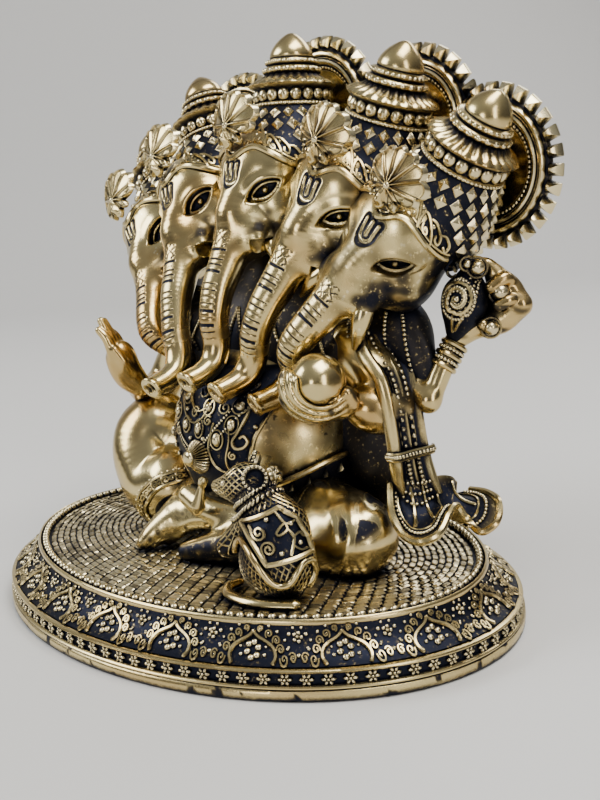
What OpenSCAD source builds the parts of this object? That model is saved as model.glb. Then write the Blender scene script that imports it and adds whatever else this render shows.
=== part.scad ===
// Five-headed seated elephant deity statuette on an oval plinth.
// Frame: origin at the centre of the plinth's underside, +Z up, the figure
// faces -Y and its left side is +X. All sizes are in millimetres.

/* [Plinth] */
// Length of the oval plinth, side to side
base_w = 200; // [190:1:210]
// Depth of the oval plinth, front to back
base_d = 144.8; // [138:0.4:152]
// Height of the plinth to its raised rim
base_h = 19; // [18:0.5:21]

/* [Figure] */
// Height of the point from which the five heads fan out
fan_z = 35.2; // [34:0.2:37]
// Lean of the second and fourth heads, in degrees
lean_inner = 20; // [19:0.5:21]
// Lean of the first and fifth heads, in degrees
lean_outer = 35; // [34:0.5:36]
// Distance from the fan point to each crown's tip
crown_reach = 146; // [144:0.5:148]
// Radius of the round belly
belly_r = 34; // [32:0.5:35]
// Width of one elephant head across the temples
head_w = 33; // [31:0.5:34]
// Thickness of a trunk half-way down
trunk_d = 8; // [7:0.25:8.5]

/* [Ornament] */
// Diameter of a halo over its studs
halo_d = 50; // [48:0.5:52]
// Number of studs around a halo
halo_studs = 26; // [20:1:30]
// Diameter of the round sweet in the front hand
sweet_d = 16.5; // [14:0.5:18]

/* [Mouse] */
// Height of the mouse above the deck
mouse_h = 38; // [36:0.5:40]

/* [Hidden] */

$fn = 64;
soft_fn = 16;              // facets of the rounded ends of limbs
oval_sides = 96;           // sides of the plinth's oval

gold = "#b89a5a";
pale = "#d3bd86";
dark = "#5a4c34";

flange_z = base_h * 0.44;  // the ring between the foot band and the skirt
flange_in = 1.8;           // how far that ring lies inside the foot
rim_in = 11.4;             // how far the rim lies inside the foot
waist_in = 8;              // inset half-way up the hollow skirt
rim_w = 2;                 // width of the raised rim
bead_d = 1.8;              // beads just inside the rim
deck_z = base_h - 1;       // top of the deck

leans = [-lean_outer, -lean_inner, 0, lean_inner, lean_outer];
head_r = head_w / 2;
crown_y = 32.5;            // depth of a crown's axis
face_z = 100;              // centre of a skull, from the fan point
halo_z = 121.5;            // centre of a halo, from the fan point
halo_y = 47.5;             // front face of a halo
halo_t = 3;                // thickness of a halo's plate
stud = 3.4;                // side of a halo stud
belly_y = belly_r * 0.5;   // the belly's centre lies behind the plinth's centre
belly_z = deck_z + belly_r;
shell_t = 2.5;             // thickness of what lies on the belly

// points of the oval at inset d
function oval(d) = [for (i = [0:oval_sides - 1]) let (t = 360 * i / oval_sides)
    [(base_w / 2 - d) * cos(t), (base_d / 2 - d) * sin(t)]];

module slab(d, z, h) translate([0, 0, z]) linear_extrude(h) polygon(oval(d));

// a limb: a rounded bar that tapers from one point to the next
module limb(p, q, r1, r2) hull() {
    translate(p) sphere(r1, $fn = soft_fn);
    translate(q) sphere(r2, $fn = soft_fn);
}

// places children in the frame of head k: x sideways, y depth and z outward
module fan(k) translate([0, 0, fan_z]) rotate([0, leans[k - 1], 0]) children();

// the share of the fan that belongs to head k, between its two neighbours
module share(k) {
    far = 190;
    lo = k == 1 ? -60 : (leans[k - 2] - leans[k - 1]) / 2;
    hi = k == 5 ? 60 : (leans[k] - leans[k - 1]) / 2;
    translate([0, 90, 0]) rotate([90, 0, 0]) linear_extrude(180)
        polygon([[0, 0], [far * sin(lo), far * cos(lo)], [0, far],
            [far * sin(hi), far * cos(hi)]]);
}

module belly_ball(grow = 0)
    translate([0, belly_y, belly_z]) sphere(belly_r + grow);

// ---- plinth ----
module plinth_foot() color(dark) slab(0, 0, flange_z);

module plinth_skirt() color(gold) difference() {
    union() {
        hull() {
            slab(flange_in, flange_z, 0.5);
            slab(waist_in, base_h * 0.72, 0.5);
        }
        hull() {
            slab(waist_in, base_h * 0.72, 0.5);
            slab(rim_in, base_h - 0.5, 0.5);
        }
    }
    slab(rim_in + rim_w, flange_z + 3, base_h);
}

module plinth_deck() color(dark)
    slab(rim_in + rim_w + bead_d, flange_z + 3, deck_z - flange_z - 3);

module deck_bead_ring() color(pale) difference() {
    slab(rim_in + rim_w, flange_z + 3, deck_z + bead_d / 2 - flange_z - 3);
    slab(rim_in + rim_w + bead_d, flange_z + 2, base_h);
}

// ---- body ----
module belly() color(gold) belly_ball();

module shoulders() color(dark) difference() {
    hull() {
        translate([-38, 16, 82]) sphere(11, $fn = soft_fn);
        translate([38, 16, 82]) sphere(11, $fn = soft_fn);
        translate([0, 24, 98]) sphere(14, $fn = soft_fn);
        translate([-24, 26, 58]) sphere(14, $fn = soft_fn);
        translate([24, 26, 58]) sphere(14, $fn = soft_fn);
    }
    belly_ball();
}

module waist_belt() color(pale) intersection() {
    difference() {
        belly_ball(shell_t);
        belly_ball();
    }
    translate([0, belly_y, belly_z - 9]) rotate([-12, -8, 0])
        cylinder(h = 8, r = 60, center = true);
}

module necklace() color(dark) intersection() {
    difference() {
        belly_ball(shell_t);
        belly_ball();
    }
    translate([-16, -40, belly_z - 3]) cube([30, 60, 27]);
}

module sunburst_pendant() color(pale)
    translate([-4, belly_y - belly_r - shell_t, belly_z - 2]) rotate([90, 0, 0]) {
        cylinder(h = 1.2, r = 5.5);
        translate([0, 0, 1.2]) cylinder(h = 2, r1 = 3.2, r2 = 1);
    }

// ---- legs ----
knee_r = [-48, -3, 50];
ankle_r = [-20, -12, 33];
knee_l = [50, 0, 30.5];
hip_l = [22, 14, 34];

module right_thigh() color(gold) difference() {
    limb([-24, 14, 40], knee_r + [0, 8, -4], 15, 12);
    belly_ball();
}

module right_shin() color(gold) difference() {
    limb(knee_r, ankle_r, 13.5, 8.5);
    belly_ball();
}

module right_hem() color(pale) difference() {
    limb(ankle_r + [-3, 0, -2], ankle_r + [4, -4, -4], 10.5, 9.5);
    limb(knee_r, ankle_r, 13.5, 8.5);
    belly_ball();
    translate([-60, -60, deck_z - 20]) cube([80, 80, 20]);
}

module right_foot() color(gold) hull() {
    translate([-12, -14, deck_z + 4.5]) sphere(4.5, $fn = soft_fn);
    translate([-16, -25, deck_z + 3]) sphere(3, $fn = soft_fn);
    translate([-22, -29, deck_z + 2.5]) sphere(2.5, $fn = soft_fn);
    translate([-10, -29, deck_z + 2.5]) sphere(2.5, $fn = soft_fn);
}

module left_thigh() color(gold) difference() {
    limb(hip_l, knee_l, 13.5, 11.5);
    belly_ball();
}

module left_shin() color(gold) difference() {
    limb(knee_l + [-6, -8, -4], [14, -17, 25.5], 9, 6.5);
    belly_ball();
    limb(hip_l, knee_l, 13.5, 11.5);
}

module left_foot() color(gold) hull() {
    translate([12, -24, deck_z + 4]) sphere(4, $fn = soft_fn);
    translate([0, -28, deck_z + 3]) sphere(3, $fn = soft_fn);
}

// ---- heads ----
module head(k) color(gold) fan(k) intersection() {
    hull() {
        translate([0, 22, face_z + 3]) sphere(head_r, $fn = 24);
        translate([0, 23, face_z - 16]) sphere(head_r - 3, $fn = soft_fn);
        translate([0, 15, face_z - 22]) sphere(5, $fn = soft_fn);
    }
    share(k);
}

// centre line of a trunk in the plane x = 0 of its head: depth, reach, radius
trunk_line = [[7, 88, 6.5], [3, 77, 5.5], [-4, 66, 4.4], [-7, 56, 4],
    [-6, 46, 3.6], [-12, 40.5, 3], [-19.5, 39, 2.8]];

module trunk(k) color(pale) fan(k) difference() {
    union() for (i = [0:len(trunk_line) - 2])
        let (p = trunk_line[i], q = trunk_line[i + 1], s = trunk_d / 8)
            limb([0, p[0], p[1]], [0, q[0], q[1]], p[2] * s, q[2] * s, $fn = 16);
}

module tusks() color(pale) for (k = [1:5], side = [-1, 1])
    fan(k) translate([side * 7.5, 6, 79]) rotate([158, 0, 0])
        cylinder(h = 13, r1 = 2.6, r2 = 0.7);

// profile of a crown: lattice cone, two ring mouldings, flared tier, finial
module crown(k) color(dark) fan(k) intersection() {
    translate([0, crown_y, 0]) rotate([-3, 0, 0]) rotate_extrude()
        polygon([[0, 104], [15.8, 104], [15.2, 112], [13.2, 123], [14.6, 124.5],
            [14.6, 128.5], [13.8, 130], [8.4, 133], [8.4, 136.5], [6.6, 138],
            [5.4, 142], [2.4, crown_reach - 0.6], [0, crown_reach]]);
    share(k);
}

// a scalloped fan of petals standing on the front of a crown
module crest(k) color(pale) fan(k) translate([0, 9, 118]) rotate([80, 0, 0])
    linear_extrude(3) polygon([for (t = [0:5:355])
        let (r = 8.6 + 1.4 * abs(cos(4 * t))) [r * sin(t), r * cos(t)]]);

module halo(k) color(gold) fan(k) intersection() {
    translate([0, halo_y, halo_z]) rotate([-90, 0, 0]) {
        rotate_extrude() polygon([[0, 1], [15, 1], [15.5, 0], [19.2, 0], [19.8, 1],
            [21.5, 1], [21.5, halo_t], [0, halo_t]]);
        for (i = [0:halo_studs - 1]) rotate(360 * i / halo_studs)
            translate([halo_d / 2 - stud - 0.8, -stud / 2, 0.3])
                cube([stud + 0.8, stud, halo_t - 0.6]);
    }
    share(k);
}

// ---- arms, named from the figure's own sides ----
module right_front_arm() color(gold) {
    limb([-44, 12, 76], [-54, 10, 62], 7.5, 6);
    limb([-54, 10, 62], [-47, -7, 68], 6, 4.2);
}

module right_front_hand() color(pale) hull() {
    translate([-47, -12, 70]) sphere(4, $fn = soft_fn);
    translate([-52, -15, 80]) sphere(3.2, $fn = soft_fn);
    translate([-45, -14, 80]) sphere(3, $fn = soft_fn);
    translate([-50, -18, 92]) sphere(1.8, $fn = soft_fn);
}

module left_front_arm() color(gold) {
    limb([44, 14, 76], [56, 16, 62], 7.5, 6);
    limb([56, 16, 62], [51, 4, 70], 6, 4.6);
}

sweet_at = [45.5, -6.5, 78.5];

module left_front_hand() color(pale) difference() {
    hull() {
        translate([51, -2, 71]) sphere(5, $fn = soft_fn);
        translate([43, -6, 70]) sphere(4.5, $fn = soft_fn);
        translate([38, -8, 75]) sphere(3.5, $fn = soft_fn);
        translate([52, -4, 77]) sphere(3, $fn = soft_fn);
    }
    translate(sweet_at) sphere(sweet_d / 2);
}

module sweet() color(pale) translate(sweet_at) sphere(sweet_d / 2);

// the rear pair is a mirror pair, and what it holds differs
module rear_arm() {
    limb([50, 22, 78], [66, 19, 68], 7, 5.5);
    limb([66, 19, 68], [73, 30, 84], 5.5, 3.8);
}

module rear_hand() hull() {
    translate([74, 31, 87]) sphere(3.6, $fn = soft_fn);
    translate([86, 36, 92]) sphere(4, $fn = soft_fn);
    translate([88, 37, 98]) sphere(3.5, $fn = soft_fn);
    translate([80, 34, 104]) sphere(2.6, $fn = soft_fn);
}

module left_rear_arm() color(gold) rear_arm();
module right_rear_arm() color(gold) mirror([1, 0, 0]) rear_arm();
module left_rear_hand() color(gold) rear_hand();
module right_rear_hand() color(gold) mirror([1, 0, 0]) rear_hand();

module conch() color(dark) difference() {
    hull() {
        translate([72, 25, 98]) sphere(6.5, $fn = soft_fn);
        translate([76, 27, 90]) sphere(3, $fn = soft_fn);
        translate([75, 29, 106]) sphere(2.5, $fn = soft_fn);
    }
    rear_hand();
}

module axe() color(dark) mirror([1, 0, 0]) difference() {
    union() {
        translate([73, 24, 84]) cylinder(h = 24, r = 1.8);
        translate([73, 22, 100]) rotate([-90, 0, 0]) cylinder(h = 4, r = 7);
    }
    rear_hand();
}

module bangles() color(pale) for (side = [0, 1], i = [0:2])
    mirror([side, 0, 0]) translate([69.7, 24.8, 76.5] + i * [1, 1.6, 2.4])
        rotate([-34, 24, 0]) rotate_extrude() translate([5, 0]) circle(r = 0.9);

// ---- sash over the left shoulder ----
module sash() color(dark) {
    hull() {
        translate([49, 6, 84]) sphere(3, $fn = soft_fn);
        translate([47, 20, 88]) sphere(3, $fn = soft_fn);
        translate([57, 4, 72]) sphere(3, $fn = soft_fn);
        translate([61, 17, 72]) sphere(3, $fn = soft_fn);
    }
    hull() {
        translate([57, 4, 72]) sphere(3, $fn = soft_fn);
        translate([61, 17, 72]) sphere(3, $fn = soft_fn);
        translate([60, 6, 50]) sphere(3, $fn = soft_fn);
        translate([64, 19, 50]) sphere(3, $fn = soft_fn);
    }
}

module sash_hem() color(gold) hull() {
    translate([60, 8, 48]) sphere(3.4, $fn = soft_fn);
    translate([66, 20, 48]) sphere(3.4, $fn = soft_fn);
    translate([60, 11, 27]) sphere(4, $fn = soft_fn);
    translate([68, 22, 25]) sphere(4, $fn = soft_fn);
    translate([80, 28, 31]) sphere(4, $fn = soft_fn);
}

// ---- mouse, the mount that sits at the figure's feet ----
mouse_at = [52, -31, deck_z];

module mouse_body() color(gold) translate(mouse_at) hull() {
    translate([0, 0, 10]) scale([1, 0.8, 0.9]) sphere(11, $fn = soft_fn);
    translate([-9, 2, 24]) sphere(5.5, $fn = soft_fn);
}

module mouse_head() color(gold) translate(mouse_at) hull() {
    translate([-12, 3, mouse_h - 7]) sphere(6, $fn = soft_fn);
    translate([-23, 5, mouse_h - 11]) sphere(2, $fn = soft_fn);
}

module mouse_blanket() color(dark) translate(mouse_at) difference() {
    hull() {
        translate([1.5, -0.8, 13]) scale([1, 0.85, 0.9]) sphere(11.5, $fn = soft_fn);
        translate([-5, 0.5, 25]) sphere(5.5, $fn = soft_fn);
    }
    translate([-30, -30, -5]) cube([60, 60, 13]);
    translate([-30, -30, 0]) cube([22, 60, 60]);
    hull() {
        translate([0, 0, 10]) scale([1, 0.8, 0.9]) sphere(11, $fn = soft_fn);
        translate([-9, 2, 24]) sphere(5.5, $fn = soft_fn);
    }
}

module mouse_tail() color(pale) translate(mouse_at + [0, 0, 1.5]) scale([1, 0.8, 1])
    rotate([0, 0, 150]) rotate_extrude(angle = 210) translate([12.5, 0]) circle(r = 1.5);

plinth_foot();
plinth_skirt();
plinth_deck();
deck_bead_ring();
belly();
shoulders();
waist_belt();
necklace();
sunburst_pendant();
right_thigh();
right_shin();
right_hem();
right_foot();
left_thigh();
left_shin();
left_foot();
head(1);  // head_1
head(2);  // head_2
head(3);  // head_3
head(4);  // head_4
head(5);  // head_5
trunk(1);  // trunk_1
trunk(2);  // trunk_2
trunk(3);  // trunk_3
trunk(4);  // trunk_4
trunk(5);  // trunk_5
tusks();
crown(1);  // crown_1
crown(2);  // crown_2
crown(3);  // crown_3
crown(4);  // crown_4
crown(5);  // crown_5
crest(1);  // crest_1
crest(2);  // crest_2
crest(3);  // crest_3
crest(4);  // crest_4
crest(5);  // crest_5
halo(1);  // halo_1
halo(2);  // halo_2
halo(3);  // halo_3
halo(4);  // halo_4
halo(5);  // halo_5
right_front_arm();
right_front_hand();
left_front_arm();
left_front_hand();
sweet();
right_rear_arm();
right_rear_hand();
axe();
left_rear_arm();
left_rear_hand();
conch();
bangles();
sash();
sash_hem();
mouse_body();
mouse_head();
mouse_blanket();
mouse_tail();
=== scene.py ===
"""Five-headed seated deity statuette in antique gold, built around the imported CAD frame.

Lengths in this script are millimetres until a mesh is made; the figure faces -Y and its
left side is +X. Soft forms are distance fields turned into meshes; ornament is laid on them.
"""
import math
import bpy
import numpy as np
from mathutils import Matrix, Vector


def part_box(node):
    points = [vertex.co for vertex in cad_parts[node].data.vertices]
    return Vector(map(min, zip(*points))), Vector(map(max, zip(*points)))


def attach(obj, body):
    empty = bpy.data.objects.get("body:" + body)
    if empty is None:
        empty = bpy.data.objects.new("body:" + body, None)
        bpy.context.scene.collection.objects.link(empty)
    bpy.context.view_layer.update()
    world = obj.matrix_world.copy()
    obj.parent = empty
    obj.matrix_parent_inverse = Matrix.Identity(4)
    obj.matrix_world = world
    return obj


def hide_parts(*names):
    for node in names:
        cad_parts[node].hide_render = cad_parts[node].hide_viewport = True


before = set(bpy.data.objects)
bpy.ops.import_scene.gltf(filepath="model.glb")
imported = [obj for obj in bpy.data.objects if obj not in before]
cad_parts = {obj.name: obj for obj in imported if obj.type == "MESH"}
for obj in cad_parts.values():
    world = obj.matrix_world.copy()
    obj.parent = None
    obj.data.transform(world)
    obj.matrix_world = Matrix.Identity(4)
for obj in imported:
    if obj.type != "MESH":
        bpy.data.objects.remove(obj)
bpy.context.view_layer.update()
import openvdb
from mathutils import Matrix, Vector

MM = 0.001
rng = np.random.default_rng(5)
pi = math.pi


def node_box(node):
    lo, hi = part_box(node)
    return np.array(lo) / MM, np.array(hi) / MM


# ---------------------------------------------------------------- driving sizes, from the frame
BASE_A, BASE_B = node_box("plinth_foot")[1][:2]      # half length and half depth of the plinth
FLANGE_Z = 0.44 * node_box("plinth_skirt")[1][2]
RIM_Z = node_box("plinth_skirt")[1][2]
DECK_Z = node_box("plinth_deck")[1][2]
FAN_Z = 35.2                                          # height the five heads fan out from
LEANS = {1: -35, 2: -20, 3: 0, 4: 20, 5: 35}          # lean of each head, in degrees
BELLY_R = (node_box("belly")[1][2] - node_box("belly")[0][2]) / 2
BELLY_C = (node_box("belly")[1] + node_box("belly")[0]) / 2
FACE_SIDE = np.array([0.673, 0.740, 0.0])            # the mouse and the sweet's hand lie along this
FACE_OUT = np.array([0.740, -0.673, 0.0])            # and face out this way


# ---------------------------------------------------------------- small mesh toolkit
class Shape:
    """A bag of vertices, quads and triangles, in millimetres. Each vertex has a darkening value: 1 is ground
    that nobody's hand rubs clean, 0 is left to the shader; on some parts it also holds painted shade."""

    def __init__(self):
        self.v, self.q, self.t, self.a, self.n = [], [], [], [], 0

    def add(self, v, q=None, t=None, patina_and_shade=0.0):
        v = np.asarray(v, float).reshape(-1, 3)
        self.a.append(np.broadcast_to(np.asarray(patina_and_shade, float), (len(v),)))
        if q is not None and len(q):
            self.q.append(np.asarray(q, int).reshape(-1, 4) + self.n)
        if t is not None and len(t):
            self.t.append(np.asarray(t, int).reshape(-1, 3) + self.n)
        self.v.append(v)
        self.n += len(v)
        return self

    def join(self, other, place=None):
        v, q, t = other.arrays()
        return self.add(v if place is None else place(v), q, t, other.patina_and_shade_values())

    def patina_and_shade_values(self):
        return np.concatenate(self.a) if self.a else np.zeros(0)

    def arrays(self):
        v = np.concatenate(self.v) if self.v else np.zeros((0, 3))
        q = np.concatenate(self.q) if self.q else np.zeros((0, 4), int)
        t = np.concatenate(self.t) if self.t else np.zeros((0, 3), int)
        return v, q, t


def unit(a):
    a = np.asarray(a, float)
    return a / np.maximum(np.linalg.norm(a, axis=-1, keepdims=True), 1e-9)


def circle(n):
    """n angles evenly around a full turn."""
    return np.linspace(0, 2 * pi, n, endpoint=False)


def upright(face):
    """The directions across a face and up it."""
    x = unit(np.cross((0, 0, 1.0), face))
    return x, np.cross(face, x)


def square_to(axis, ref):
    """Two directions square to an axis and to each other, the first of them also square to ref."""
    x = unit(np.cross(axis, ref))
    return x, np.cross(axis, x)


def hoop(c, r, x, y, n):
    """n points around a circle about c in the plane of x and y."""
    a = circle(n)
    return c + r * (np.cos(a)[:, None] * x + np.sin(a)[:, None] * y)


def sweep(rows, closed_u=False, closed_v=True):
    """Quads over a (n, m, 3) sheet of points."""
    rows = np.asarray(rows, float)
    n, m = rows.shape[:2]
    i = np.arange(n if closed_u else n - 1)[:, None]
    j = np.arange(m if closed_v else m - 1)[None, :]
    a = i * m + j
    b = i * m + (j + 1) % m
    c = (i + 1) % n * m + (j + 1) % m
    d = (i + 1) % n * m + j
    return rows.reshape(-1, 3), np.stack([a, b, c, d], -1).reshape(-1, 4)


def tube(shape, pts, r, sides=8, closed=False, flat=1.0, up=None):
    """A round bar along pts. r may vary; flat squashes it along up."""
    pts = np.asarray(pts, float)
    n = len(pts)
    r = np.broadcast_to(np.asarray(r, float), (n,)).copy()
    if closed:
        tan = unit(np.roll(pts, -1, 0) - np.roll(pts, 1, 0))
    else:
        tan = unit(np.gradient(pts, axis=0))
    if up is None:
        ref = np.array([0.0, 0.0, 1.0]) if abs(tan[:, 2]).mean() < 0.8 else np.array([0.0, 1.0, 0.0])
        up = np.broadcast_to(ref, (n, 3))
    up = np.broadcast_to(np.asarray(up, float), (n, 3))
    side = unit(np.cross(tan, up))
    up = np.cross(side, tan)
    a = circle(sides)
    ring = side[:, None] * np.cos(a)[None, :, None] + up[:, None] * (flat * np.sin(a))[None, :, None]
    if not closed:                      # rounded ends
        pts = np.concatenate([pts[:1] - tan[:1] * r[0] * 0.6, pts, pts[-1:] + tan[-1:] * r[-1] * 0.6])
        ring = np.concatenate([ring[:1], ring, ring[-1:]])
        r = np.concatenate([[r[0] * 0.45], r, [r[-1] * 0.45]])
    v, q = sweep(pts[:, None] + ring * r[:, None, None], closed_u=closed)
    if closed:
        return shape.add(v, q)
    m = sides
    ends = np.array([pts[0], pts[-1]])
    k = len(v)
    cap = [[k, (j + 1) % m, j] for j in range(m)]
    last = k - m
    cap += [[k + 1, last + j, last + (j + 1) % m] for j in range(m)]
    return shape.add(np.concatenate([v, ends]), q, cap)


def lathe(profile, segs):
    """Turns (radius, height) points about +Z."""
    profile = np.asarray(profile, float)
    a = circle(segs)
    rows = []
    for r, z in profile:
        rows.append(np.stack([r * np.cos(a), r * np.sin(a), z + 0 * a], -1))
    v, q = sweep(rows)
    return v, q[:, ::-1]


def dome(segs=10, rings=5, low=-0.25):
    """A bead template: unit ball from low up to 1 in z."""
    t = np.linspace(math.asin(max(low, -1)), pi / 2, rings)
    a = circle(segs)
    rows = [np.stack([math.cos(x) * np.cos(a), math.cos(x) * np.sin(a), math.sin(x) + 0 * a], -1) for x in t]
    v, q = sweep(rows)
    return v, q, None


def gem():
    """A four-sided raised stud, corners on the x and y axes, top nearly a point."""
    low, edge, top = -0.3, 0.12, 0.55 * 0.28      # foot, height of the sides, width of the small top
    c = np.array([[1, 0], [0, 1], [-1, 0], [0, -1]], float)
    rows = [np.c_[c, np.full(4, low)], np.c_[c, np.full(4, edge)], np.c_[c * top, np.full(4, 1.0)]]
    v, q = sweep(rows)
    return np.concatenate([v, [[0, 0, 1.05]]]), q, [[12, 8 + j, 8 + (j + 1) % 4] for j in range(4)]


def stamp(shape, template, at, normal, up, size):
    """Copies a template to many places. size is (n, 3) or (3,): across, along up, along normal."""
    tv, tq, tt = template
    at = np.atleast_2d(np.asarray(at, float))
    n = len(at)
    nz = unit(np.broadcast_to(np.asarray(normal, float), (n, 3)))
    x = unit(np.cross(np.broadcast_to(np.asarray(up, float), (n, 3)), nz))
    y = np.cross(nz, x)
    s = np.broadcast_to(np.asarray(size, float), (n, 3))
    v = (at[:, None] + tv[None, :, :1] * (x * s[:, :1])[:, None]
         + tv[None, :, 1:2] * (y * s[:, 1:2])[:, None] + tv[None, :, 2:3] * (nz * s[:, 2:3])[:, None])
    off = (np.arange(n) * len(tv))[:, None, None]
    q = None if tq is None else (np.asarray(tq)[None] + off).reshape(-1, 4)
    t = None if tt is None else (np.asarray(tt)[None] + off).reshape(-1, 3)
    return shape.add(v.reshape(-1, 3), q, t)


def capped(rows):
    """A tube swept through rows of points, with both ends filled in from their middles."""
    v, q = sweep(rows)
    k, m = len(v), rows.shape[1]
    caps = np.stack([rows[0].mean(0), rows[-1].mean(0)])
    tri = [[k, j, (j + 1) % m] for j in range(m)]
    tri += [[k + 1, k - m + (j + 1) % m, k - m + j] for j in range(m)]
    return np.concatenate([v, caps]), q, tri


BEAD = dome()
GEM = gem()


def spline(pts, n=40, closed=False):
    """A smooth curve through a few points (Catmull-Rom)."""
    p = np.asarray(pts, float)
    m = len(p)
    if closed:
        q = np.concatenate([p[-1:], p, p[:2]])
        spans = m
    else:
        q = np.concatenate([2 * p[:1] - p[1:2], p, 2 * p[-1:] - p[-2:-1]])
        spans = m - 1
    s = np.linspace(0, spans, n, endpoint=not closed)
    i = np.minimum(s.astype(int), spans - 1)
    f = (s - i)[:, None]
    a, b, c, d = q[i], q[i + 1], q[i + 2], q[i + 3]
    return 0.5 * (2 * b + (c - a) * f + (2 * a - 5 * b + 4 * c - d) * f ** 2
                  + (3 * b - a - 3 * c + d) * f ** 3)


# ---------------------------------------------------------------- distance fields
def length(x, y, z):
    return np.sqrt(x * x + y * y + z * z)


def ball(P, c, r):
    return length(P[0] - c[0], P[1] - c[1], P[2] - c[2]) - r


def egg(P, c, r):
    """An ellipsoid with its three radii along the axes."""
    d = [P[i] - c[i] for i in range(3)]
    k0 = length(d[0] / r[0], d[1] / r[1], d[2] / r[2])
    k1 = length(d[0] / r[0] ** 2, d[1] / r[1] ** 2, d[2] / r[2] ** 2)
    return k0 * (k0 - 1) / np.maximum(k1, 1e-6)


def bar(P, a, b, ra, rb):
    """A round bar from a to b that tapers from radius ra to rb."""
    d = [b[i] - a[i] for i in range(3)]
    t = sum((P[i] - a[i]) * d[i] for i in range(3)) / max(sum(x * x for x in d), 1e-9)
    t = np.clip(t, 0, 1)
    return length(*[P[i] - a[i] - t * d[i] for i in range(3)]) - (ra + (rb - ra) * t)


def chain(P, pts, radii, steps=24):
    """A bar along a smooth curve through pts, with radii given at those points."""
    line = spline(np.c_[pts, radii], steps)
    out = None
    for p, q in zip(line[:-1], line[1:]):
        d = bar(P, p[:3], q[:3], p[3], q[3])
        out = d if out is None else np.minimum(out, d)
    return out


def blend(a, b, k):
    h = np.maximum(k - np.abs(a - b), 0) / k
    return np.minimum(a, b) - h * h * k * 0.25


def carve(a, b, k):
    return -blend(-a, b, k)


def sculpt(field, lo, hi, step, patina_and_shade=0.0):
    """Meshes the zero surface of a field inside a box. The darkening value is a number or a function of
    points.
    """
    axes = [np.arange(a, b + step, step, dtype=np.float32) for a, b in zip(lo, hi)]
    P = np.meshgrid(*axes, indexing="ij", sparse=True)
    d = np.broadcast_to(field(P), [len(a) for a in axes])
    edge = 3 * step
    d = np.clip(d, -edge, edge).astype(np.float32)
    for side in (0, -1):
        d[side], d[:, side], d[:, :, side] = edge, edge, edge
    g = openvdb.FloatGrid(edge)
    g.copyFromArray(d)
    pts, tris, quads = g.convertToPolygons(0.0, 0.0)
    pts = np.array(pts, float) * step + np.array(lo)
    quads = np.array(quads, int).reshape(-1, 4)[:, ::-1]
    tris = np.array(tris, int).reshape(-1, 3)[:, ::-1]
    pts = relax(pts, quads, tris)
    return Shape().add(pts, quads, tris, patina_and_shade(pts) if callable(patina_and_shade) else patina_and_shade)


def march(field, p, way, rounds=40):
    """Moves points along a direction until they meet the surface of a field, with steps a little
    short of the distance left."""
    p = np.array(np.atleast_2d(p), float)
    for _ in range(rounds):
        p += 0.8 * field(p.T)[:, None] * way
    return p


def both_sides(P):
    """Coordinates with the right side folded onto the left, for forms that are alike on both."""
    return np.abs(P[0]), P[1], P[2]


def mottle(P, size, seed=1):
    """A soft random field between about -1 and 1, in blobs of the given size."""
    g = np.random.default_rng(seed)
    waves = [(unit(g.normal(size=3)) * 2 * pi / size * g.uniform(0.6, 1.7),
              g.uniform(0, 2 * pi)) for _ in range(8)]
    return sum(np.sin(d[0] * P[0] + d[1] * P[1] + d[2] * P[2] + a) for d, a in waves) / 2.8


def patchy(base, amount, size, seed, top):
    """A darkening value in soft patches of patina, as a function of points."""
    return lambda p: np.clip(base + amount * mottle(p.T, size, seed), 0, top)


def relax(pts, quads, tris, rounds=2, pull=0.5):
    """Evens out a mesh by easing each point towards the middle of its neighbours, then back."""
    e = np.concatenate([quads[:, [0, 1]], quads[:, [1, 2]], quads[:, [2, 3]], quads[:, [3, 0]],
                        tris[:, [0, 1]], tris[:, [1, 2]], tris[:, [2, 0]]])
    e = np.concatenate([e, e[:, ::-1]])
    count = np.maximum(np.bincount(e[:, 0], minlength=len(pts)), 1)[:, None]
    for _ in range(rounds):
        for step in (pull, -pull * 1.04):           # the step back is longer, so that nothing shrinks
            mean = np.stack([np.bincount(e[:, 0], pts[e[:, 1], i], len(pts)) for i in range(3)], -1) / count
            pts = pts + step * (mean - pts)
    return pts


def grad(field, p, e=0.05):
    p = np.atleast_2d(p)
    g = []
    for i in range(3):
        d = np.zeros(3)
        d[i] = e
        g.append(field((p + d).T) - field((p - d).T))
    return np.stack(g, -1) / (2 * e)


def snap(field, p, lift=0.0, rounds=5):
    """Moves points onto the surface of a field, then off it by lift. Returns points and normals."""
    p = np.array(np.atleast_2d(p), float)
    for _ in range(rounds):
        g = grad(field, p)
        p -= (field(p.T) / np.maximum((g * g).sum(-1), 1e-3))[:, None] * g
    n = unit(grad(field, p))
    return p + n * lift, n


def studded(shape, field, pts, r, count, lift=0.1, tall=0.9):
    """Beads in a row along a curve on a field's surface."""
    p, nm = snap(field, spline(pts, count), lift)
    return stamp(shape, BEAD, p, nm, (0.3, 0.1, 1), (r, r, r * tall))


def beads(shape, field, pts, r, lift=0.2, rounds=5):
    """Round beads at points brought onto a field's surface."""
    p, nm = snap(field, pts, lift, rounds)
    return stamp(shape, BEAD, p, nm, (0, 0, 1), (r, r, r))


# ---------------------------------------------------------------- materials
def nodes_of(mat):
    mat.use_nodes = True
    nt = mat.node_tree
    return nt, nt.nodes["Principled BSDF"]


def link(nt, a, b):
    nt.links.new(a, b)


def math_node(nt, op, a, b=None, clamp=False):
    n = nt.nodes.new("ShaderNodeMath")
    n.operation, n.use_clamp = op, clamp
    for i, x in enumerate((a, b)):
        if x is None:
            continue
        if isinstance(x, (int, float)):
            n.inputs[i].default_value = x
        else:
            link(nt, x, n.inputs[i])
    return n.outputs[0]


def ramp(nt, src, lo, hi, out_lo=0.0, out_hi=1.0):
    n = nt.nodes.new("ShaderNodeMapRange")
    n.interpolation_type = "SMOOTHSTEP"
    for i, x in enumerate((lo, hi, out_lo, out_hi)):
        n.inputs[i + 1].default_value = x
    link(nt, src, n.inputs[0])
    return n.outputs[0]


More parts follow.
